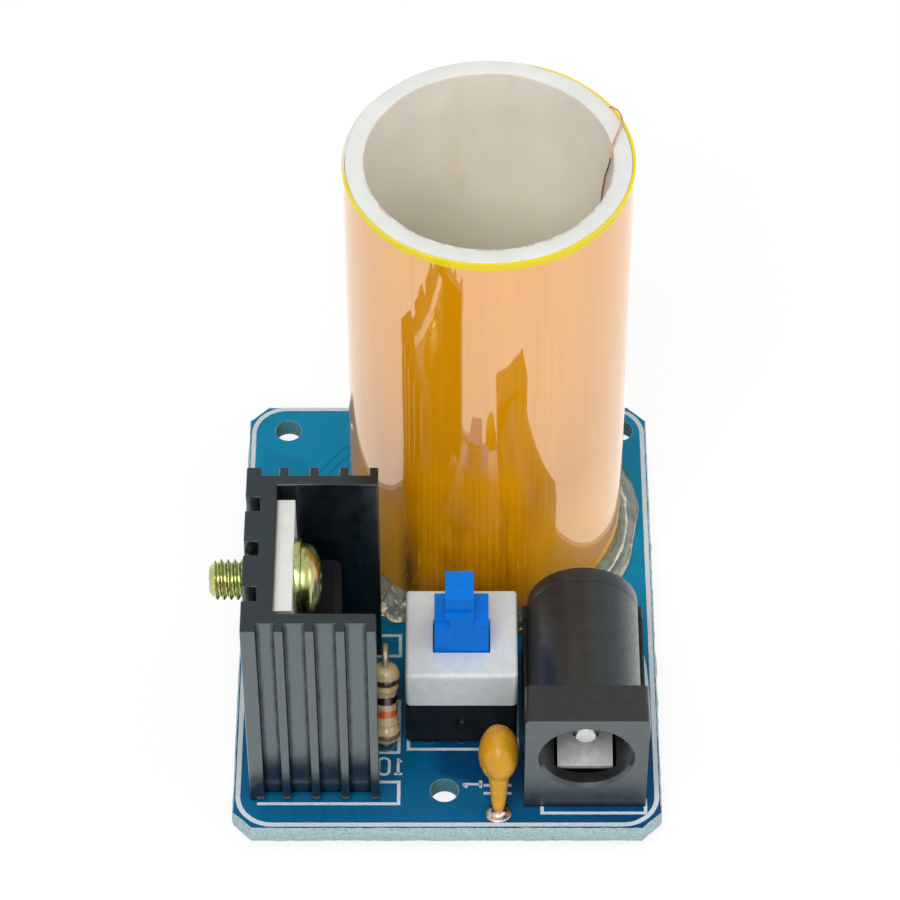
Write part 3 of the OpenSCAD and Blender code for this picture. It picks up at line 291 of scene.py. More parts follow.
def mask_material():
    """Blue solder mask: copper areas underneath shift its tone, and painted shade darkens it towards the front, in
    front of the switch and right of the capacitor; with a fine orange-peel gloss.
    """
    g = Graph("blue_mask")
    x, y, z = g.axes()
    pour = g.remap(g.noise(160.0, 1.0, 0.4), 0.47, 0.5)
    colour = g.mix(pour, (0.001, 0.205, 0.370), (0.001, 0.235, 0.430))
    # painted shade: the mask darkens towards the front of the board
    colour = g.mix(g.times(g.remap(y, 0.004, -0.013), 0.9), colour, (0.001, 0.096, 0.230))
    slant = g.plus(y, g.times(x, 0.35))
    shade = g.times(g.remap(slant, -0.0162, -0.0156), g.remap(x, -0.0010, 0.0004))
    shade = g.times(shade, g.remap(y, -0.0125, -0.0130))
    colour = g.mix(g.times(shade, 0.8), colour, (0.001, 0.040, 0.130))
    # painted shadow to the right of the capacitor
    cap_shadow = g.times(g.remap(x, 0.0035, 0.0050), g.remap(y, -0.0150, -0.0170))
    colour = g.mix(g.times(cap_shadow, 0.7), colour, (0.001, 0.062, 0.180))
    colour = g.mix(g.times(g.remap(g.noise(5200.0, 3.0), 0.62, 0.74), 0.25), colour, (0.02, 0.30, 0.42))
    fine = g.bump(g.noise(3800.0, 2.0, 0.5), 0.12, 0.02 * MM)
    return g.surface(colour, g.remap(g.noise(1500.0, 3.0), 0.3, 0.7, 0.16, 0.28),
                     g.bump(g.noise(420.0, 2.0, 0.5), 0.10, 0.05 * MM, fine), ior=1.5, spec=0.12)


def laminate_material(name="laminate_edge", resin=(0.37, 0.52, 0.55), pale=(0.50, 0.63, 0.64),
                      deep=(0.07, 0.26, 0.32)):
    """Cut edge of the glass laminate: pale resin with darker horizontal fibre bundles."""
    g = Graph(name)
    layers = g.noise(1.0, 4.0, 0.65, coords=g.scaled((900.0, 900.0, 9000.0)))
    spots = g.noise(5200.0, 4.0, 0.7)
    colour = g.mix(g.remap(layers, 0.38, 0.62), resin, pale)
    colour = g.mix(g.times(g.remap(spots, 0.54, 0.66), 0.8), colour, deep)
    colour = g.mix(g.times(g.remap(spots, 0.42, 0.3), 0.5), colour, [min(1.0, c * 1.25) for c in pale])
    return g.surface(colour, g.remap(spots, 0.3, 0.7, 0.55, 0.85), g.bump(g.plus(layers, spots), 0.7, 0.05 * MM))


def resistor_material(base, direction):
    """Beige lacquer with painted bands across the body's own axis."""
    g = Graph("banded_lacquer")
    move = g.add("ShaderNodeVectorMath", {0: g.coords, 1: base}, operation="SUBTRACT")
    dot = g.add("ShaderNodeVectorMath", {0: move.outputs[0], 1: direction}, operation="DOT_PRODUCT")
    along = g.plus(g.math("DIVIDE", dot.outputs["Value"], MM),
                   g.times(g.minus(g.noise(1100.0, 3.0), 0.5), 0.28))
    colour = g.mix(g.remap(g.noise(1300.0, 4.0), 0.35, 0.7), (0.60, 0.46, 0.22), (0.72, 0.56, 0.30))
    bands = [(5.05, 5.72, (0.055, 0.022, 0.016)), (3.50, 4.18, (0.012, 0.011, 0.012)),
             (2.36, 2.98, (0.72, 0.14, 0.022)), (0.50, 0.95, (0.20, 0.13, 0.045))]
    for low, high, paint in bands:
        inside = g.times(g.remap(along, low - 0.05, low + 0.05), g.remap(along, high + 0.05, high - 0.05))
        colour = g.mix(inside, colour, paint)
    return g.surface(colour, g.remap(g.noise(2400.0, 3.0), 0.3, 0.7, 0.16, 0.3),
                     g.bump(g.noise(1500.0, 2.0), 0.25, 0.05 * MM), ior=1.55, coat=0.6, coat_rough=0.08)


def cover_material(centre):
    """Satin white moulding, faintly blue where the plunger shines through, with small scuffs."""
    g = Graph("white_cover")
    x, y, z = g.axes()
    dx = g.minus(x, centre.x)
    dy = g.minus(y, centre.y)
    away = g.math("SQRT", g.plus(g.times(dx, dx), g.times(dy, dy)))
    colour = g.mix(g.remap(g.noise(1400.0, 4.0), 0.35, 0.65), (0.62, 0.67, 0.685), (0.69, 0.73, 0.745))
    colour = g.mix(g.times(g.remap(away, 0.0033, 0.0021), 0.18), colour, (0.42, 0.52, 0.76))
    scuffs = g.remap(g.noise(1.0, 2.0, 0.5, coords=g.scaled((2600.0, 900.0, 900.0)), distortion=1.2), 0.70, 0.74)
    colour = g.mix(g.times(scuffs, 0.55), colour, (0.25, 0.26, 0.28))
    return g.surface(colour, g.remap(g.noise(2600.0, 3.0), 0.3, 0.7, 0.34, 0.48),
                     g.bump(g.noise(9000.0, 2.0), 0.10, 0.01 * MM), ior=1.48, spec=0.4)


def zinc_material():
    """Yellow passivated zinc: olive gold that drifts to pink and green."""
    g = Graph("yellow_zinc")
    drift = g.noise(520.0, 3.0, 0.55, distortion=0.6)
    colour = g.mix(g.remap(drift, 0.34, 0.44), (0.46, 0.30, 0.19), (0.41, 0.43, 0.17))
    colour = g.mix(g.remap(drift, 0.52, 0.64), colour, (0.33, 0.43, 0.20))
    colour = g.mix(g.times(g.remap(g.noise(2600.0, 4.0), 0.55, 0.7), 0.5), colour, (0.20, 0.15, 0.07))
    return g.surface(colour, g.remap(g.noise(2100.0, 3.0), 0.3, 0.7, 0.18, 0.34),
                     g.bump(g.noise(6500.0, 3.0), 0.2, 0.01 * MM), metallic=1.0)


def glue_material():
    """Milky hot-melt glue: clear enough to show what is under it, cloudy and full of small bubbles."""
    g = Graph("hot_glue")
    colour = g.mix(g.remap(g.noise(900.0, 4.0), 0.35, 0.7), (0.72, 0.65, 0.47), (0.86, 0.80, 0.65))
    return g.surface(colour, g.remap(g.noise(1700.0, 3.0), 0.3, 0.7, 0.04, 0.16),
                     g.bump(g.noise(1100.0, 4.0, 0.6), 0.30, 0.10 * MM), transmission=0.92, ior=1.40, spec=0.35)


FORMER_LO, FORMER_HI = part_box("coil_former")
COIL = Vector(((FORMER_LO.x + FORMER_HI.x) / 2, (FORMER_LO.y + FORMER_HI.y) / 2, 0))
WINDING_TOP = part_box("secondary_winding")[1].z
BORE_R = 8.9
COVER_LO, COVER_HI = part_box("switch_cover")
switch_centre = Vector(((COVER_LO.x + COVER_HI.x) / 2, (COVER_LO.y + COVER_HI.y) / 2 - 0.0003, 0))

MAT = {
    "film": film_material(COIL, WINDING_TOP),
    "mask": mask_material(),
    "laminate": laminate_material(),
    "cover": cover_material(switch_centre),
    "zinc": zinc_material(),
    "glue": glue_material(),
    "silk": finish_surface("silk_ink", (0.66, 0.72, 0.76), (0.54, 0.62, 0.68), blotch=4200.0, grain=12000.0,
                           rough=(0.5, 0.7), bump=0.3),
    "former": former_material(COIL, BORE_R, FORMER_HI.z),
    # painted shade: the hole walls take darker tones than the cut edge, for the shade inside the holes
    "hole": laminate_material("shaded_hole_wall", (0.05, 0.20, 0.25), (0.12, 0.33, 0.37), (0.01, 0.09, 0.14)),
    "wire": metal_surface("enamelled_wire", (0.74, 0.42, 0.29), (0.58, 0.28, 0.17), rough=(0.25, 0.4)),
    "winding": metal_surface("wound_wire", (0.50, 0.20, 0.07), (0.34, 0.12, 0.04), streak=(0.02, 0.02, 1.0)),
    "sink": finish_surface("black_anodised", (0.004, 0.008, 0.011), (0.002, 0.004, 0.006), blotch=500.0,
                           grain=8000.0, rough=(0.17, 0.27), bump=0.10, gloss=(0.43, 0.19),
                           specks=(2600.0, (0.30, 0.32, 0.34), 0.10), ior=2.1),
    "tab": metal_surface("tinned_tab", (0.78, 0.83, 0.81), (0.71, 0.75, 0.73), blotch=700.0, rough=(0.42, 0.55),
                         metallic=0.55),
    "mould": finish_surface("moulded_epoxy", (0.008, 0.009, 0.012), (0.005, 0.006, 0.008), grain=7000.0,
                            rough=(0.5, 0.62), bump=0.35, spec=0.12),
    "die": finish_surface("silicon_die", (0.12, 0.12, 0.15), (0.07, 0.07, 0.09), rough=(0.1, 0.2), metallic=0.6),
    "lead": metal_surface("tinned_lead", (0.66, 0.66, 0.65), (0.50, 0.50, 0.49), rough=(0.22, 0.38)),
    "dull": metal_surface("lacquered_lead", (0.50, 0.46, 0.36), (0.34, 0.30, 0.23), blotch=1800.0, rough=(0.40, 0.6),
                          metallic=0.75),
    "joint": metal_surface("rough_solder", (0.70, 0.70, 0.68), (0.26, 0.26, 0.27), blotch=2600.0, rough=(0.16, 0.5),
                           bump=0.9, stain=((0.66, 0.36, 0.24), 1100.0, 0.52, 0.58)),
    "solder": metal_surface("solder", (0.72, 0.72, 0.73), (0.52, 0.52, 0.54), blotch=1500.0, rough=(0.16, 0.34)),
    "pad": metal_surface("tinned_pad", (0.70, 0.70, 0.70), (0.50, 0.50, 0.50), blotch=1700.0, rough=(0.22, 0.45),
                         stain=((0.72, 0.36, 0.20), 1300.0, 0.56, 0.62)),
    "core": finish_surface("ceramic_core", (0.78, 0.73, 0.64), (0.68, 0.63, 0.55), grain=6000.0, rough=(0.5, 0.7)),
    "capacitor": finish_surface("dipped_lacquer", (0.66, 0.335, 0.012), (0.58, 0.28, 0.009), blotch=620.0,
                                grain=2600.0, rough=(0.22, 0.34), bump=0.16, bump_mm=0.03,
                                specks=(3000.0, (0.36, 0.15, 0.02), 0.16), ior=1.5, spec=0.35),
    "base": finish_surface("switch_base_black", (0.008, 0.011, 0.015), (0.004, 0.007, 0.010), rough=(0.34, 0.46),
                           bump=0.2, spec=0.18),
    "blue": finish_surface("switch_blue", (0.001, 0.200, 0.760), (0.001, 0.165, 0.680), blotch=1300.0,
                           rough=(0.30, 0.42), bump=0.10, ior=1.48, spec=0.12),
    "brass": metal_surface("spring_brass", (0.78, 0.58, 0.25), (0.60, 0.43, 0.17)),
    "steel": metal_surface("spring_steel", (0.60, 0.60, 0.61), (0.44, 0.44, 0.45)),
    "socket": finish_surface("socket_black", (0.020, 0.020, 0.022), (0.012, 0.012, 0.014), blotch=800.0,
                             grain=5200.0, rough=(0.32, 0.46), bump=0.45, bump_mm=0.012, gloss=(0.50, 0.20),
                             specks=(4200.0, (0.11, 0.12, 0.13), 0.14), ior=1.9),
    "nickel": metal_surface("nickel_leaf", (0.80, 0.81, 0.79), (0.62, 0.63, 0.61), blotch=1500.0, metallic=0.45,
                            rough=(0.30, 0.45), stain=((0.36, 0.30, 0.22), 2100.0, 0.60, 0.74)),
    "pin": metal_surface("nickel_pin", (0.62, 0.63, 0.60), (0.54, 0.55, 0.52), rough=(0.22, 0.34)),
}

# ---- mesh helpers


def finish_mesh(name, bm, material, body="board", replaces=(), smooth=40.0, weighted=False):
    me = bpy.data.meshes.new(name)
    bm.normal_update()
    bm.to_mesh(me)
    bm.free()
    if "custom_normal" in me.attributes:
        me.attributes.remove(me.attributes["custom_normal"])
    for m in material if isinstance(material, (list, tuple)) else [material]:
        me.materials.append(m)
    for p in me.polygons:
        p.use_smooth = True
    me.set_sharp_from_angle(angle=math.radians(smooth))
    ob = bpy.data.objects.new(name, me)
    bpy.context.scene.collection.objects.link(ob)
    if weighted:
        mod = ob.modifiers.new("weighted", "WEIGHTED_NORMAL")
        mod.keep_sharp = True
    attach(ob, body)
    if replaces:
        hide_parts(*replaces)
    return ob


def cad_copy(node):
    """A welded copy of a CAD node's mesh, its flat faces merged back from their triangles."""
    bm = bmesh.new()
    bm.from_mesh(NODES[node].data)
    bmesh.ops.remove_doubles(bm, verts=bm.verts[:], dist=2e-6)
    bmesh.ops.dissolve_limit(bm, angle_limit=math.radians(0.5), verts=bm.verts[:], edges=bm.edges[:])
    for layer in list(bm.loops.layers.float_vector.values()):
        bm.loops.layers.float_vector.remove(layer)
    return bm


def dressed(node, material, body="board", bevel=0.05, segments=2, angle=38.0):
    """The CAD node's shape with its sharp edges broken as a moulded or sheared part's are."""
    bm = cad_copy(node)
    sharp = [e for e in bm.edges if len(e.link_faces) == 2 and e.calc_face_angle(0.0) > math.radians(angle)]
    if bevel:
        bmesh.ops.bevel(bm, geom=sharp, offset=bevel * MM, segments=segments, affect="EDGES", profile=0.5,
                        clamp_overlap=True)
    return finish_mesh(node + "_piece", bm, material, body, (node,), weighted=True)


def lathe(bm, profile, centre, segments=96, wobble=None):
    """Closed ring of quads turned about a vertical line; profile is a closed loop of (radius, height), in mm."""
    rings = []
    for i in range(segments):
        a = 2 * math.pi * i / segments
        ring = []
        for k, (r, z) in enumerate(profile):
            if wobble:
                r, z = wobble(a, k, r, z)
            ring.append(bm.verts.new((centre.x + r * MM * math.cos(a), centre.y + r * MM * math.sin(a), z * MM)))
        rings.append(ring)
    n = len(profile)
    for i in range(segments):
        p, q = rings[i], rings[(i + 1) % segments]
        for k in range(n):
            bm.faces.new((p[k], q[k], q[(k + 1) % n], p[(k + 1) % n]))
    bmesh.ops.recalc_face_normals(bm, faces=bm.faces[:])


def applied(ob):
    """Replaces an object's mesh by what its modifiers make of it."""
    bpy.context.view_layer.update()
    dg = bpy.context.evaluated_depsgraph_get()
    me = bpy.data.meshes.new_from_object(ob.evaluated_get(dg))
    ob.modifiers.clear()
    old = ob.data
    ob.data = me
    bpy.data.meshes.remove(old)
    return ob


def temporary(name, bm):
    me = bpy.data.meshes.new(name)
    bm.to_mesh(me)
    bm.free()
    ob = bpy.data.objects.new(name, me)
    bpy.context.scene.collection.objects.link(ob)
    return ob


def released(ob):
    """An object's mesh as a bmesh; the object itself is removed."""
    bm = bmesh.new()
    bm.from_mesh(ob.data)
    me = ob.data
    bpy.data.objects.remove(ob)
    bpy.data.meshes.remove(me)
    return bm


def melted(name, bm, voxel, rounds):
    """The shapes of a bmesh run together into one even skin of the given voxel size, in mm, and smoothed."""
    ob = temporary(name, bm)
    remesh = ob.modifiers.new("remesh", "REMESH")
    remesh.mode = "VOXEL"
    remesh.voxel_size = voxel * MM
    ob.modifiers.new("smooth", "SMOOTH").iterations = rounds
    return released(applied(ob))


def pour(part, whole):
    """Adds one bmesh to another."""
    me = bpy.data.meshes.new("part")
    part.to_mesh(me)
    part.free()
    whole.from_mesh(me)
    bpy.data.meshes.remove(me)


def wave(p, scale, seed=0.0):
    """Smooth noise between -1 and 1 at a point in millimetres."""
    z = p[2] if len(p) > 2 else 0
    return noise.noise(Vector((p[0] * scale + seed, p[1] * scale - seed, z * scale + 2 * seed)))


# ---- circuit board

CORNER = 1.5


def outline_points(step, inset=0.0):
    """Points along the board's eight-sided outline, anticlockwise from above, with the outward direction."""
    x, y, c = HALF_W - inset, HALF_L - inset, CORNER
    corners = [(-x + c, -y), (x - c, -y), (x, -y + c), (x, y - c), (x - c, y), (-x + c, y), (-x, y - c), (-x, -y + c)]
    points = []
    for i, p in enumerate(corners):
        q = corners[(i + 1) % 8]
        length = math.dist(p, q)
        normal = ((q[1] - p[1]) / length, -(q[0] - p[0]) / length)
        count = max(2, round(length / step))
        for k in range(count):
            t = k / count
            points.append((p[0] + t * (q[0] - p[0]), p[1] + t * (q[1] - p[1]), *normal))
    return points


def hole_points(x, y, r, count=56):
    """Points of a hole's rim, clockwise from above, with the direction into the board."""
    return [(x + r * math.cos(-2 * math.pi * k / count), y + r * math.sin(-2 * math.pi * k / count),
             -math.cos(-2 * math.pi * k / count), -math.sin(-2 * math.pi * k / count)) for k in range(count)]


HOLE_R = 1.05
HOLES = [(-12.8, HALF_L - 2.6), (13.8, HALF_L - 2.6), (-0.2, 3.6 - HALF_L)]


def slab(name, rings, levels, shift, material, replaces=()):
    """A flat plate with holes: each ring of rim points is carried through levels, shifted outward by shift."""
    bm = bmesh.new()
    tops, bottoms = [], []
    for index, ring in enumerate(rings):
        loops = []
        for level in levels:
            loop = []
            for (px, py, nx, ny) in ring:
                d = shift(index, px, py, level)
                loop.append(bm.verts.new(at(px + nx * d, py + ny * d, level)))
            loops.append(loop)
        n = len(ring)
        for a, b in zip(loops, loops[1:]):
            for k in range(n):
                bm.faces.new((a[k], a[(k + 1) % n], b[(k + 1) % n], b[k])).material_index = min(index, 1)
        tops.append(loops[0])
        bottoms.append(loops[-1])
    for loops in (tops, bottoms):
        edges = []
        for loop in loops:
            for k in range(len(loop)):
                edges.append(bm.edges.get((loop[k], loop[(k + 1) % len(loop)])) or
                             bm.edges.new((loop[k], loop[(k + 1) % len(loop)])))
        bmesh.ops.triangle_fill(bm, use_beauty=True, edges=edges)
    bmesh.ops.recalc_face_normals(bm, faces=bm.faces[:])
    return finish_mesh(name, bm, material, "board", replaces)


def edge_bite(px, py, z):
    """How far the snapped edge stands off its nominal line: rough web in the middle, cut faces above and below."""
    rough = 0.05 * wave((px, py, z * 2), 2.4) + 0.05 * wave((px, py, z), 0.7, 3.0)
    lump = max(0.0, wave((px, py, 0), 0.33, 7.0) - 0.25) * 0.5 if px > HALF_W - 0.3 else 0.0
    depth = abs(z + BT / 2) / (BT / 2)
    return rough + lump * max(0.0, 1 - depth) - 0.12 * max(0.0, depth - 0.35)


def board_shift(index, px, py, z):
    if index:
        return 0.012 * wave((px, py, z * 3), 3.0)
    return edge_bite(px, py, z) - 0.05


def mask_shift(index, px, py, z):
    if index:
        return -0.03 - 0.015 * wave((px, py, z), 2.0, 5.0)
    return -0.18 + 0.05 * wave((px, py, 0), 1.1, 11.0) + 0.03 * wave((px, py, 0), 3.7, 2.0)


rims = [outline_points(0.18)] + [hole_points(x, y, HOLE_R) for x, y in HOLES]
mask_t = 0.03
slab("board_laminate", rims, [-mask_t, -0.25, -0.55, -0.7, -0.85, -1.0, -1.15, 0.3 - BT, mask_t - BT],
     board_shift, (MAT["laminate"], MAT["hole"]), ("circuit_board",))
slab("board_mask_upper", rims, [0.0, -mask_t], mask_shift, (MAT["mask"], MAT["mask"]))
slab("board_mask_lower", rims, [mask_t - BT, -BT], mask_shift, (MAT["mask"], MAT["mask"]))


# ---- printed marks

SILK_Z = 0.012
track_lo, track_hi = span("primary_coil")
TRACK_X, TRACK_Y = (track_lo.x + track_hi.x) / 2, (track_lo.y + track_hi.y) / 2
TRACK_R = (track_hi.x - track_lo.x) / 2


def ink_height(x, y):
    """The print climbs over the raised tracks of the primary coil."""
    return SILK_Z + (track_hi.z if TRACK_R - 3.4 < math.hypot(x - TRACK_X, y - TRACK_Y) < TRACK_R + 0.4 else 0.0)


def stroke(bm, points, width, closed=False, ragged=0.02):
    """A printed line of the given width through points, in millimetres, with slightly uneven edges."""
    path = []
    count = len(points)
    for i in range(count if closed else count - 1):
        p, q = points[i], points[(i + 1) % count]
        steps = max(1, round(math.dist(p, q) / 0.22))
        path += [(p[0] + (q[0] - p[0]) * k / steps, p[1] + (q[1] - p[1]) * k / steps) for k in range(steps)]
    if not closed:
        path.append(points[-1])
    n = len(path)
    sides = []
    for i, p in enumerate(path):
        a = path[(i - 1) % n] if closed or i else p
        b = path[(i + 1) % n] if closed or i < n - 1 else p
        before, after = Vector((p[0] - a[0], p[1] - a[1])), Vector((b[0] - p[0], b[1] - p[1]))
        before = before.normalized() if before.length > 1e-9 else after.normalized()
        after = after.normalized() if after.length > 1e-9 else before
        bisector = (before + after).normalized()
        normal = Vector((-bisector.y, bisector.x))
        stretch = 1 / max(0.5, normal.dot(Vector((-after.y, after.x))))
        half = width / 2 * stretch
        left = half + ragged * wave((p[0], p[1], 1), 3.1)
        right = half + ragged * wave((p[0], p[1], 4), 3.1)
        z = ink_height(*p)
        sides.append((bm.verts.new(at(p[0] + normal.x * left, p[1] + normal.y * left, z)),
                      bm.verts.new(at(p[0] - normal.x * right, p[1] - normal.y * right, z))))
    for i in range(n if closed else n - 1):
        a, b = sides[i], sides[(i + 1) % n]
        bm.faces.new((a[1], b[1], b[0], a[0]))


def arc(cx, cy, r, a0, a1, steps=10):
    return [(cx + r * math.cos(math.radians(a0 + (a1 - a0) * k / steps)),
             cy + r * math.sin(math.radians(a0 + (a1 - a0) * k / steps))) for k in range(steps + 1)]


def rounded_loop(x0, y0, x1, y1, r):
    return (arc(x1 - r, y0 + r, r, -90, 0) + arc(x1 - r, y1 - r, r, 0, 90)
            + arc(x0 + r, y1 - r, r, 90, 180) + arc(x0 + r, y0 + r, r, 180, 270))


silk = bmesh.new()
BORDER_W, OUTLINE_W, NUMERAL_W = 0.36, 0.25, 0.21
stroke(silk, rounded_loop(-15.55, -20.55, 15.58, 20.70, 2.6), BORDER_W, closed=True)
# heat sink, resistor, switch, capacitor and socket outlines
for points in (
        [(-14.1, -18.65), (-3.6, -18.65), (-3.6, -16.65), (-5.6, -16.65)],
        [(-5.6, -4.70), (-3.6, -4.70), (-3.6, -2.73), (-14.2, -2.73), (-14.2, -18.2)],
        [(-5.9, -13.91), (-3.63, -13.91), (-3.63, -9.03), (-5.9, -9.03), (-5.9, -13.91)],
        [(-2.92, -4.3), (-2.92, -13.60), (5.25, -13.60), (5.25, -4.3)],
        [(2.71, -16.96), (4.78, -16.96)], [(2.71, -17.69), (4.78, -17.69)], [(3.75, -16.96), (3.75, -16.1)],
        [(7.03, -18.6), (7.03, -19.50), (14.70, -19.50), (14.70, -18.2)]):
    stroke(silk, points, OUTLINE_W)
# plain numerals
stroke(silk, arc(-4.72, -14.85, 0.42, 20, 160, 8) + arc(-4.72, -15.55, 0.42, 200, 340, 8), NUMERAL_W, closed=True)
for points in (
        [(-3.72, -14.50), (-3.42, -14.80)], [(-3.66, -14.62), (-3.66, -15.90)], [(-3.96, -15.90), (-3.36, -15.90)],
        [(1.15, -16.85), (2.50, -16.85)], [(2.50, -16.50), (2.50, -17.20)], [(1.20, -16.88), (1.48, -17.18)]):
    stroke(silk, points, NUMERAL_W)
# filled patch beside the socket
patch = [(14.98, -4.2), (15.18, -5.6), (15.28, -7.2), (15.34, -8.6), (15.36, -11.4), (15.26, -12.2), (15.12, -13.6),
         (14.92, -14.0), (14.90, -4.4)]
silk.faces.new([silk.verts.new(at(x, y, SILK_Z)) for x, y in patch])
bmesh.ops.recalc_face_normals(silk, faces=silk.faces[:])
for f in silk.faces:
    if f.normal.z < 0:
        f.normal_flip()
finish_mesh("board_print", silk, MAT["silk"], "board")


def islands(node):
    """Boxes of a node's separate solids, as (low corner, high corner), in metres."""
    bm = bmesh.new()
    bm.from_mesh(NODES[node].data)
    bmesh.ops.remove_doubles(bm, verts=bm.verts[:], dist=2e-6)
    seen, boxes = set(), []
    for v in bm.verts:
        if v in seen:
            continue
        stack, group = [v], []
        seen.add(v)
        while stack:
            w = stack.pop()
            group.append(w.co.copy())
            for e in w.link_edges:
                o = e.other_vert(w)
                if o not in seen:
                    seen.add(o)
                    stack.append(o)
        boxes.append((Vector([min(c[i] for c in group) for i in range(3)]),
                      Vector([max(c[i] for c in group) for i in range(3)])))
    bm.free()
    return boxes


fillets = bmesh.new()
for index, (lo, hi) in enumerate(islands("solder_joints")):
    part = bmesh.new()
    centre = (lo + hi) / 2
    radius = (hi.x - lo.x) / 2 / MM
    low, high = lo.z / MM, hi.z / MM
    profile = [(0.02, low)]
    for k in range(9):
        t = k / 8
        profile.append((radius * (0.38 + 0.62 * t ** 2.2), low + (high - low) * t * 0.97 + 0.02))
    profile.append((0.02, high))

    def uneven(a, k, r, z, seed=index * 3.1):
        return r * (1 + 0.07 * math.sin(a + seed) + 0.04 * math.sin(3 * a + seed * 2)) if 0 < k < 10 else r, z

    lathe(part, profile, centre, 36, uneven)
    pour(part, fillets)
finish_mesh("solder_fillets", fillets, MAT["solder"], "board", ("solder_joints",), smooth=60.0)

# ---- coil

z0, z1 = FORMER_LO.z / MM, FORMER_HI.z / MM
r_out = (FORMER_HI.x - FORMER_LO.x) / 2 / MM


def sawn(a, k, r, z):
    """The tube's sawn end: small nicks on its rims."""
    if z > z1 - 0.5:
        z += 0.035 * wave((10 * math.cos(a), 10 * math.sin(a), k), 0.9)
        if k in (2, 3):
            r -= 0.03 * max(0.0, wave((10 * math.cos(a), 10 * math.sin(a), 0), 2.2, 9.0))
    return r, z


former_profile = [(r_out, z0), (r_out, z1 - 0.10), (r_out - 0.04, z1 - 0.03), (r_out - 0.14, z1 - 0.02),
                  (BORE_R + 0.14, z1 - 0.02), (BORE_R + 0.03, z1 - 0.07), (BORE_R, z1 - 0.2),
                  (BORE_R, z1 * 0.55), (BORE_R, z0)]
bm = bmesh.new()
lathe(bm, former_profile, COIL, 200, sawn)
finish_mesh("tube", bm, MAT["former"], "board", ("coil_former",), smooth=50.0)

film_lo, film_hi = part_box("insulation_film")
f0, f1 = film_lo.z / MM, film_hi.z / MM
f_out = (film_hi.x - film_lo.x) / 2 / MM
f_in = r_out + 0.03
rows = 90


def slack(a, k, r, z):
    """Tape that lies a little uneven over the turns, with one lengthwise overlap at the back."""
    if r > f_in + 0.01:
        p = (f_out * math.cos(a), f_out * math.sin(a), z)
        r -= 0.012 * (1 + wave((p[0], p[1], z * 0.35), 0.35)) + 0.003 * wave(p, 1.3, 4.0)
    if z > f1 - 0.01:
        z -= (0.36 * (0.5 + 0.5 * math.cos(a - math.radians(135))) ** 2
              + 0.05 * (1 + wave((r * math.cos(a), r * math.sin(a)), 0.5)))
    return r, z


film_profile = ([(f_out, f0 + (f1 - f0) * k / rows) for k in range(rows + 1)] + [(f_in, f1), (f_in, f0)])
bm = bmesh.new()
lathe(bm, film_profile, COIL, 240, slack)
finish_mesh("film", bm, MAT["film"], "board", ("insulation_film",), smooth=50.0)


# glue: a skirt of uneven width with thicker lumps at the front left, where the lower wire end comes out
glue = bmesh.new()
g_in = f_out + 0.02
glue_h = 2.1


def glue_swell(a):
    deg = math.degrees(a) % 360
    spread = 1.45 + 0.30 * wave((10 * math.cos(a), 10 * math.sin(a), 0), 0.28, 2.0)
    spread += 0.45 * math.exp(-((deg - 30) / 24) ** 2)
    spread -= 0.35 * math.exp(-((deg - 300) / 30) ** 2)
    return spread


def glue_wobble(a, k, r, z):
    grow = glue_swell(a) / 1.5
    r = g_in + (r - g_in) * grow
    limit = HALF_L - 0.1 - COIL.y / MM
    if math.sin(a) > 0.2:
        r = min(r, limit / math.sin(a))
    if 0 < k < 12 and z > BZ / MM + 0.15:
        z += 0.10 * wave((r * math.cos(a), r * math.sin(a), z), 0.8, 6.0)
    return r, z


base_z = BZ / MM + 0.06
glue_profile = [(g_in, base_z)] + [
    (g_in + 1.5 * math.cos(t * math.pi / 2) ** 0.9, base_z + 0.02 + glue_h * (1 - math.cos(t * math.pi / 2)) ** 0.75)
    for t in (k / 10 for k in range(11))]
lathe(glue, glue_profile, COIL, 220, glue_wobble)
lumps = [(226.6, 0.55, 1.35, 0.35), (233.0, 0.95, 0.95, 0.1), (219.0, -0.15, 1.25, 0.7), (228.5, 1.35, 0.55, -0.1),
         (214.0, -0.3, 0.8, 1.3)]
for deg, out, radius, lift in lumps:
    a = math.radians(deg)
    r = g_in + out
    centre = Vector((COIL.x + r * MM * math.cos(a), COIL.y + r * MM * math.sin(a), BZ + lift * MM))
    bmesh.ops.create_icosphere(glue, subdivisions=4, radius=radius * MM, matrix=Matrix.Translation(centre))
bm = melted("glue_form", glue, 0.11, 6)
for v in bm.verts:
    p = v.co / MM
    if p.z - BZ / MM > 0.12:
        rough = 1.0 if v.co.x < COIL.x else 0.45
        push = rough * (0.10 * wave(p, 1.2, 1.0) + 0.05 * wave(p, 3.0, 8.0))
        v.co += v.normal * push * MM
    d = Vector((v.co.x - COIL.x, v.co.y - COIL.y, 0))
    if d.length < g_in * MM:
        v.co += d.normalized() * (g_in * MM - d.length)
    v.co.z = max(v.co.z, BZ + 0.055 * MM)
finish_mesh("glue", bm, MAT["glue"], "board", ("glue_bead",), smooth=180.0)

# ---- heat sink, transistor, screw

dressed("heat_sink", MAT["sink"], bevel=0.12)
dressed("transistor_tab", MAT["tab"], bevel=0.16)
dressed("transistor_body", MAT["mould"], bevel=0.08)
dressed("transistor_leads", MAT["lead"], bevel=0.05)
dressed("screw_washer", MAT["zinc"], bevel=0.06)

screw_lo, screw_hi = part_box("clamp_screw")
HEAD_H, DOME_H = 1.5, 1.49      # the head's height as a solid and as dressed
seat_x = screw_hi.x / MM - HEAD_H
tip_x = screw_lo.x / MM
screw_y, screw_z = (screw_lo.y + screw_hi.y) / 2 / MM, (screw_lo.z + screw_hi.z) / 2 / MM


def along_x(x, r, a):
    return Vector((x * MM, (screw_y + r * math.cos(a)) * MM, (screw_z + r * math.sin(a)) * MM))


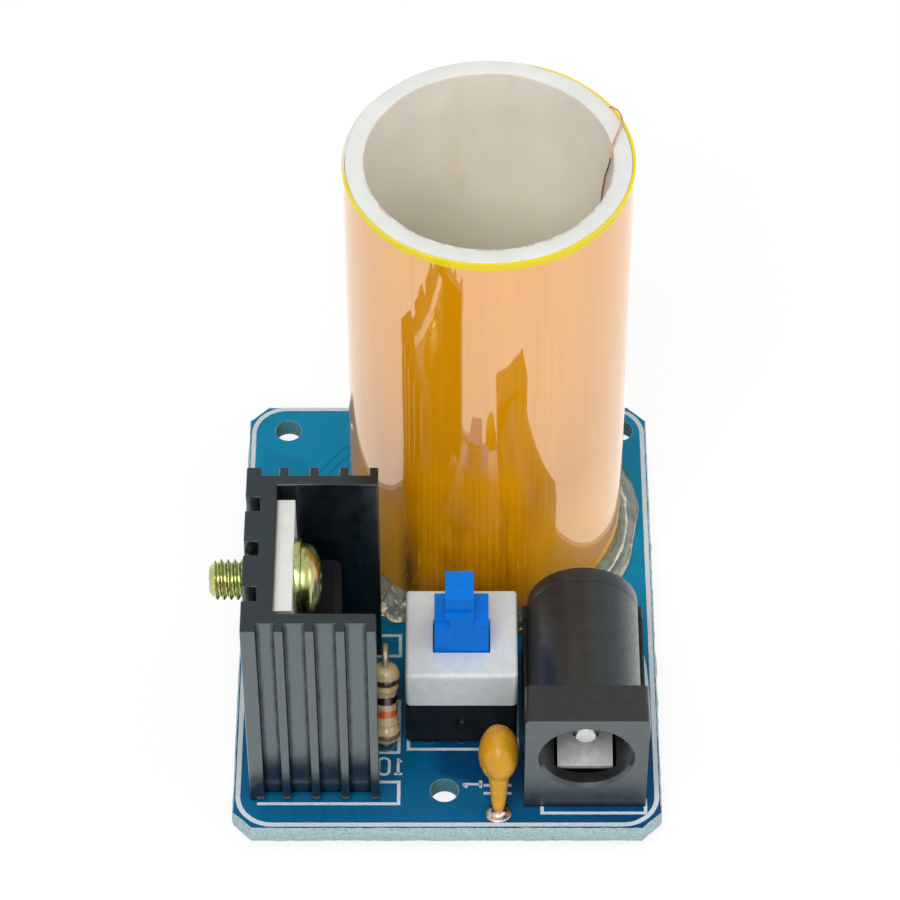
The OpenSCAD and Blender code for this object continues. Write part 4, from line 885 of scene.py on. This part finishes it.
bm = bmesh.new()
sides, pitch = 56, 0.5
length = seat_x - tip_x
steps = int(length / 0.04)
rings = []
for i in range(steps + 1):
    s = length * i / steps
    ring = []
    for k in range(sides):
        a = 2 * math.pi * k / sides
        phase = (s / pitch - k / sides) % 1.0
        tooth = min(1.0, max(0.0, 1.25 - abs(phase - 0.5) * 3.2))
        fade = min(1.0, s / 0.4)
        r = 1.22 + 0.27 * tooth * fade
        r = min(r, 0.95 + (s + 0.02) * 1.1)
        ring.append(bm.verts.new(along_x(tip_x + s, r, a)))
    rings.append(ring)
for p, q in zip(rings, rings[1:]):
    for k in range(sides):
        bm.faces.new((p[k], q[k], q[(k + 1) % sides], p[(k + 1) % sides]))
bm.faces.new(rings[0][::-1])
bm.faces.new(rings[-1])
head_profile = [(1.3, 0.0), (2.52, 0.0), (2.62, 0.06), (2.64, 0.30), (2.60, 0.42)]
for k in range(1, 11):
    a = math.radians(8.4 * k)
    head_profile.append((2.60 * math.cos(a) ** 0.85, 0.42 + 1.06 * math.sin(a)))
prev = None
for r, s in head_profile:
    ring = [bm.verts.new(along_x(seat_x + s, r, 2 * math.pi * k / sides)) for k in range(sides)]
    if prev:
        for k in range(sides):
            bm.faces.new((prev[k], ring[k], ring[(k + 1) % sides], prev[(k + 1) % sides]))
    else:
        bm.faces.new(ring[::-1])
    prev = ring
tip = bm.verts.new(along_x(seat_x + DOME_H, 0.0, 0.0))
for k in range(sides):
    bm.faces.new((prev[k], tip, prev[(k + 1) % sides]))
bmesh.ops.recalc_face_normals(bm, faces=bm.faces[:])
screw = temporary("screw_form", bm)
for turn in (0.0, 90.0):
    cutter = bmesh.new()
    bmesh.ops.create_cube(cutter, size=1.0)
    bmesh.ops.scale(cutter, vec=Vector((1.0, 0.34, 1.25)) * MM * 2, verts=cutter.verts[:])
    for v in cutter.verts:
        if v.co.x < 0:
            v.co.z *= 0.55
            v.co.y *= 0.8
    bmesh.ops.rotate(cutter, cent=(0, 0, 0), matrix=Matrix.Rotation(math.radians(turn + 12), 3, "X"),
                     verts=cutter.verts[:])
    bmesh.ops.translate(cutter, vec=Vector(((seat_x + DOME_H) * MM, screw_y * MM, screw_z * MM)), verts=cutter.verts[:])
    tool = temporary("cutter", cutter)
    mod = screw.modifiers.new("cross", "BOOLEAN")
    mod.operation = "DIFFERENCE"
    mod.solver = "EXACT"
    mod.object = tool
    applied(screw)
    bpy.data.objects.remove(tool)
finish_mesh("screw", released(screw), MAT["zinc"], "board", ("clamp_screw",), smooth=35.0)

# ---- resistor and capacitor

core_lo, core_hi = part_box("resistor_core")
lean = math.radians(20)
lean_dir = Vector((0, math.sin(lean), math.cos(lean)))
core_centre = (core_lo + core_hi) / 2
RESISTOR_L = 6.5
resistor_base = core_centre - lean_dir * (RESISTOR_L / 2) * MM
MAT["resistor"] = resistor_material(resistor_base, lean_dir)
bm = bmesh.new()
profile = []
for k in range(8):
    a = math.radians(-80 + 150 * k / 7)
    profile.append((0.60 + 0.50 * math.cos(a), 0.78 + 0.78 * math.sin(a)))
profile += [(0.99, 1.75), (0.88, 2.05), (0.855, 2.5), (0.85, 3.25)]
profile += [(r, RESISTOR_L - s) for r, s in profile[-2::-1]]
side = Vector((1, 0, 0))
fore = lean_dir.cross(side)
seg = 48
prev = None
for r, s in profile:
    ring = []
    for k in range(seg):
        a = 2 * math.pi * k / seg
        rr = r * (1 + 0.018 * wave((r * math.cos(a), r * math.sin(a), s), 0.9, 3.0))
        spot = side * rr * math.cos(a) + fore * rr * math.sin(a) + lean_dir * s
        ring.append(bm.verts.new(resistor_base + spot * MM))
    if prev:
        for k in range(seg):
            bm.faces.new((prev[k], prev[(k + 1) % seg], ring[(k + 1) % seg], ring[k]))
    else:
        bm.faces.new(ring[::-1])
    prev = ring
bm.faces.new(prev)
bmesh.ops.recalc_face_normals(bm, faces=bm.faces[:])
finish_mesh("resistor", bm, MAT["resistor"], "board", ("resistor_body",), smooth=50.0)

cap_lo, cap_hi = span("capacitor_body")
cx, cy = (cap_lo.x + cap_hi.x) / 2, (cap_lo.y + cap_hi.y) / 2
cz = cap_hi.z - 2.1
bm = bmesh.new()
bmesh.ops.create_icosphere(bm, subdivisions=5, radius=1.0 * MM)
for v in bm.verts:
    v.co = Vector((v.co.x * 1.5, v.co.y * 2.1, v.co.z * 2.1)) + at(cx, cy, cz)
for s in (-1, 1):
    # coated leg: a tapering chain of balls from the body down to the lead
    for k in range(14):
        t = k / 13
        y = cy + s * (2.2 * (1 - t) + 1.15 * t)
        z = 0.75 * (1 - t) + 3.55 * t
        r = 0.43 + 0.33 * t ** 0.6
        bmesh.ops.create_icosphere(bm, subdivisions=3, radius=r * MM, matrix=Matrix.Translation(at(cx, y, z)))
bm = melted("cap_form", bm, 0.09, 14)
for v in bm.verts:
    p = v.co / MM
    v.co += v.normal * MM * (0.05 * wave(p, 0.55, 2.0) + 0.012 * wave(p, 2.2, 5.0))
finish_mesh("capacitor", bm, MAT["capacitor"], "board", ("capacitor_body",), smooth=180.0)

# front joint of the capacitor: a low crown of solder round the lead on its pad
bm = bmesh.new()
for s in (-1, 1):
    part = bmesh.new()
    c = at(cx, cy + s * 2.2, 0)
    z = BZ / MM
    lathe(part, [(0.2, z + 0.055), (0.93, z + 0.055), (0.90, z + 0.09), (0.62, z + 0.11), (0.38, z + 0.19),
                 (0.27, z + 0.42), (0.2, z + 0.42)], c, 40,
          lambda a, k, r, h: (r * (1 + 0.05 * math.sin(2 * a + 1)), h + 0.03 * math.sin(a * 3)))
    pour(part, bm)
finish_mesh("capacitor_solder", bm, MAT["joint"], "board", smooth=60.0)

# ---- switch and socket

dressed("switch_base", MAT["base"], bevel=0.05)
dressed("switch_cover", MAT["cover"], bevel=0.09, segments=3)
dressed("switch_plunger", MAT["blue"], "plunger", bevel=0.05)
dressed("socket_housing", MAT["socket"], bevel=0.07, angle=50.0)
dressed("socket_rear_cover", MAT["socket"], bevel=0.07, angle=50.0)
dressed("socket_leaf_contact", MAT["nickel"], "leaf", bevel=0.05, angle=30.0)
dressed("socket_center_pin", MAT["pin"], bevel=0.06, angle=30.0)
# the return spring stands on the board's side, with a mesh of its own
spring = dressed("switch_return_spring", MAT["steel"], bevel=0)
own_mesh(spring)

# ---- nodes that keep their CAD mesh

LOOKS = {
    "primary_coil": "mask", "component_pads": "pad", "secondary_winding": "winding", "winding_top_lead": "wire",
    "winding_bottom_lead": "wire", "transistor_die": "die", "resistor_core": "core", "resistor_leads": "dull",
    "capacitor_element": "core", "capacitor_leads": "lead", "switch_contact_clips": "brass",
    "switch_latch_pin": "steel", "switch_terminals": "lead", "socket_sleeve_terminal": "nickel",
    "socket_break_terminal": "nickel",
}
for node, look in LOOKS.items():
    ob = NODES[node]
    if not ob.data.materials:
        ob.data.materials.append(MAT[look])
    for slot in ob.material_slots:
        slot.material = MAT[look]

# ---- stage, light and camera

FLOOR_HALF = 0.6
bm = bmesh.new()
corners = [bm.verts.new((x * FLOOR_HALF, y * FLOOR_HALF, 0.0)) for x, y in ((-1, -1), (1, -1), (1, 1), (-1, 1))]
bm.faces.new(corners)
floor_me = bpy.data.meshes.new("floor")
bm.to_mesh(floor_me)
bm.free()
floor = bpy.data.objects.new("floor", floor_me)
bpy.context.scene.collection.objects.link(floor)
FLOOR_SEEN, FLOOR_MIRRORED = 0.84, 0.80   # the floor's own light, for the camera and for mirror images
m = bpy.data.materials.new("floor_white")
m.use_nodes = True
tree = m.node_tree
tree.nodes.clear()
rays = add_node(tree, "ShaderNodeLightPath").outputs
mirrored = add_node(tree, "ShaderNodeMath", {0: rays["Is Glossy Ray"], 1: rays["Is Transmission Ray"]},
                    operation="MAXIMUM")
direct = add_node(tree, "ShaderNodeMath", {0: rays["Is Camera Ray"], 1: FLOOR_SEEN}, operation="MULTIPLY")
level = add_node(tree, "ShaderNodeMath", {0: mirrored.outputs[0], 1: FLOOR_MIRRORED, 2: direct.outputs[0]},
                 operation="MULTIPLY_ADD")
glow = add_node(tree, "ShaderNodeEmission", {"Strength": level.outputs[0]})
grain = add_node(tree, "ShaderNodeTexNoise", {"Scale": 60.0})
tone = add_node(tree, "ShaderNodeMix", {"Factor": grain.outputs["Fac"], 6: (0.60, 0.60, 0.60, 1),
                                        7: (0.63, 0.63, 0.63, 1)}, data_type="RGBA")
seen = add_node(tree, "ShaderNodeMix", {"Factor": rays["Is Camera Ray"], 6: tone.outputs[2],
                                        7: (0.18, 0.18, 0.18, 1)}, data_type="RGBA")
diffuse = add_node(tree, "ShaderNodeBsdfDiffuse", {"Color": seen.outputs[2]})
both = add_node(tree, "ShaderNodeAddShader", {0: glow.outputs[0], 1: diffuse.outputs[0]})
add_node(tree, "ShaderNodeOutputMaterial", {"Surface": both.outputs[0]})
floor_me.materials.append(m)

world = bpy.data.worlds.new("studio")
bpy.context.scene.world = world
world.use_nodes = True
tree = world.node_tree
tree.nodes.clear()
rays = add_node(tree, "ShaderNodeLightPath").outputs
seen = rays["Is Camera Ray"]
for kind in ("Is Glossy Ray", "Is Transmission Ray"):
    seen = add_node(tree, "ShaderNodeMath", {0: seen, 1: rays[kind]}, operation="MAXIMUM").outputs[0]
strength = add_node(tree, "ShaderNodeMapRange", {0: seen, 3: 0.50, 4: 1.0})
back = add_node(tree, "ShaderNodeBackground", {"Color": (1, 1, 1, 1), "Strength": strength.outputs[0]})
add_node(tree, "ShaderNodeOutputWorld", {"Surface": back.outputs[0]})


def area_light(name, where, target, width, height, power):
    data = bpy.data.lights.new(name, "AREA")
    data.shape = "RECTANGLE"
    data.size, data.size_y = width, height
    data.energy = power
    ob = bpy.data.objects.new(name, data)
    bpy.context.scene.collection.objects.link(ob)
    ob.location = where
    ob.rotation_mode = "QUATERNION"
    ob.rotation_quaternion = (Vector(target) - Vector(where)).to_track_quat("-Z", "Y")
    return ob


aim = (0.0, 0.0, 0.015)
area_light("key", (-0.06, -0.25, 0.36), aim, 0.30, 0.24, 1.10)
area_light("fill", (0.34, -0.10, 0.22), aim, 0.22, 0.26, 0.30)
area_light("rear", (0.05, 0.32, 0.30), aim, 0.30, 0.20, 0.10).visible_glossy = False

cam_data = bpy.data.cameras.new("camera")
cam_data.sensor_width = 36.0
cam_data.lens = 157.39
cam_data.clip_start, cam_data.clip_end = 0.01, 5.0
camera = bpy.data.objects.new("camera", cam_data)
bpy.context.scene.collection.objects.link(camera)
right = Vector((0.99999806, 0.00102106, -0.00168556))
up = Vector((0.00034836, 0.75025357, 0.66115010))
back_dir = right.cross(up).normalized()
basis = Matrix((right, up, back_dir)).transposed().to_4x4()
camera.matrix_world = Matrix.Translation(at(0.7895, -191.891, 236.276)) @ basis
bpy.context.scene.camera = camera

view = bpy.context.scene.view_settings
view.view_transform = "Standard"
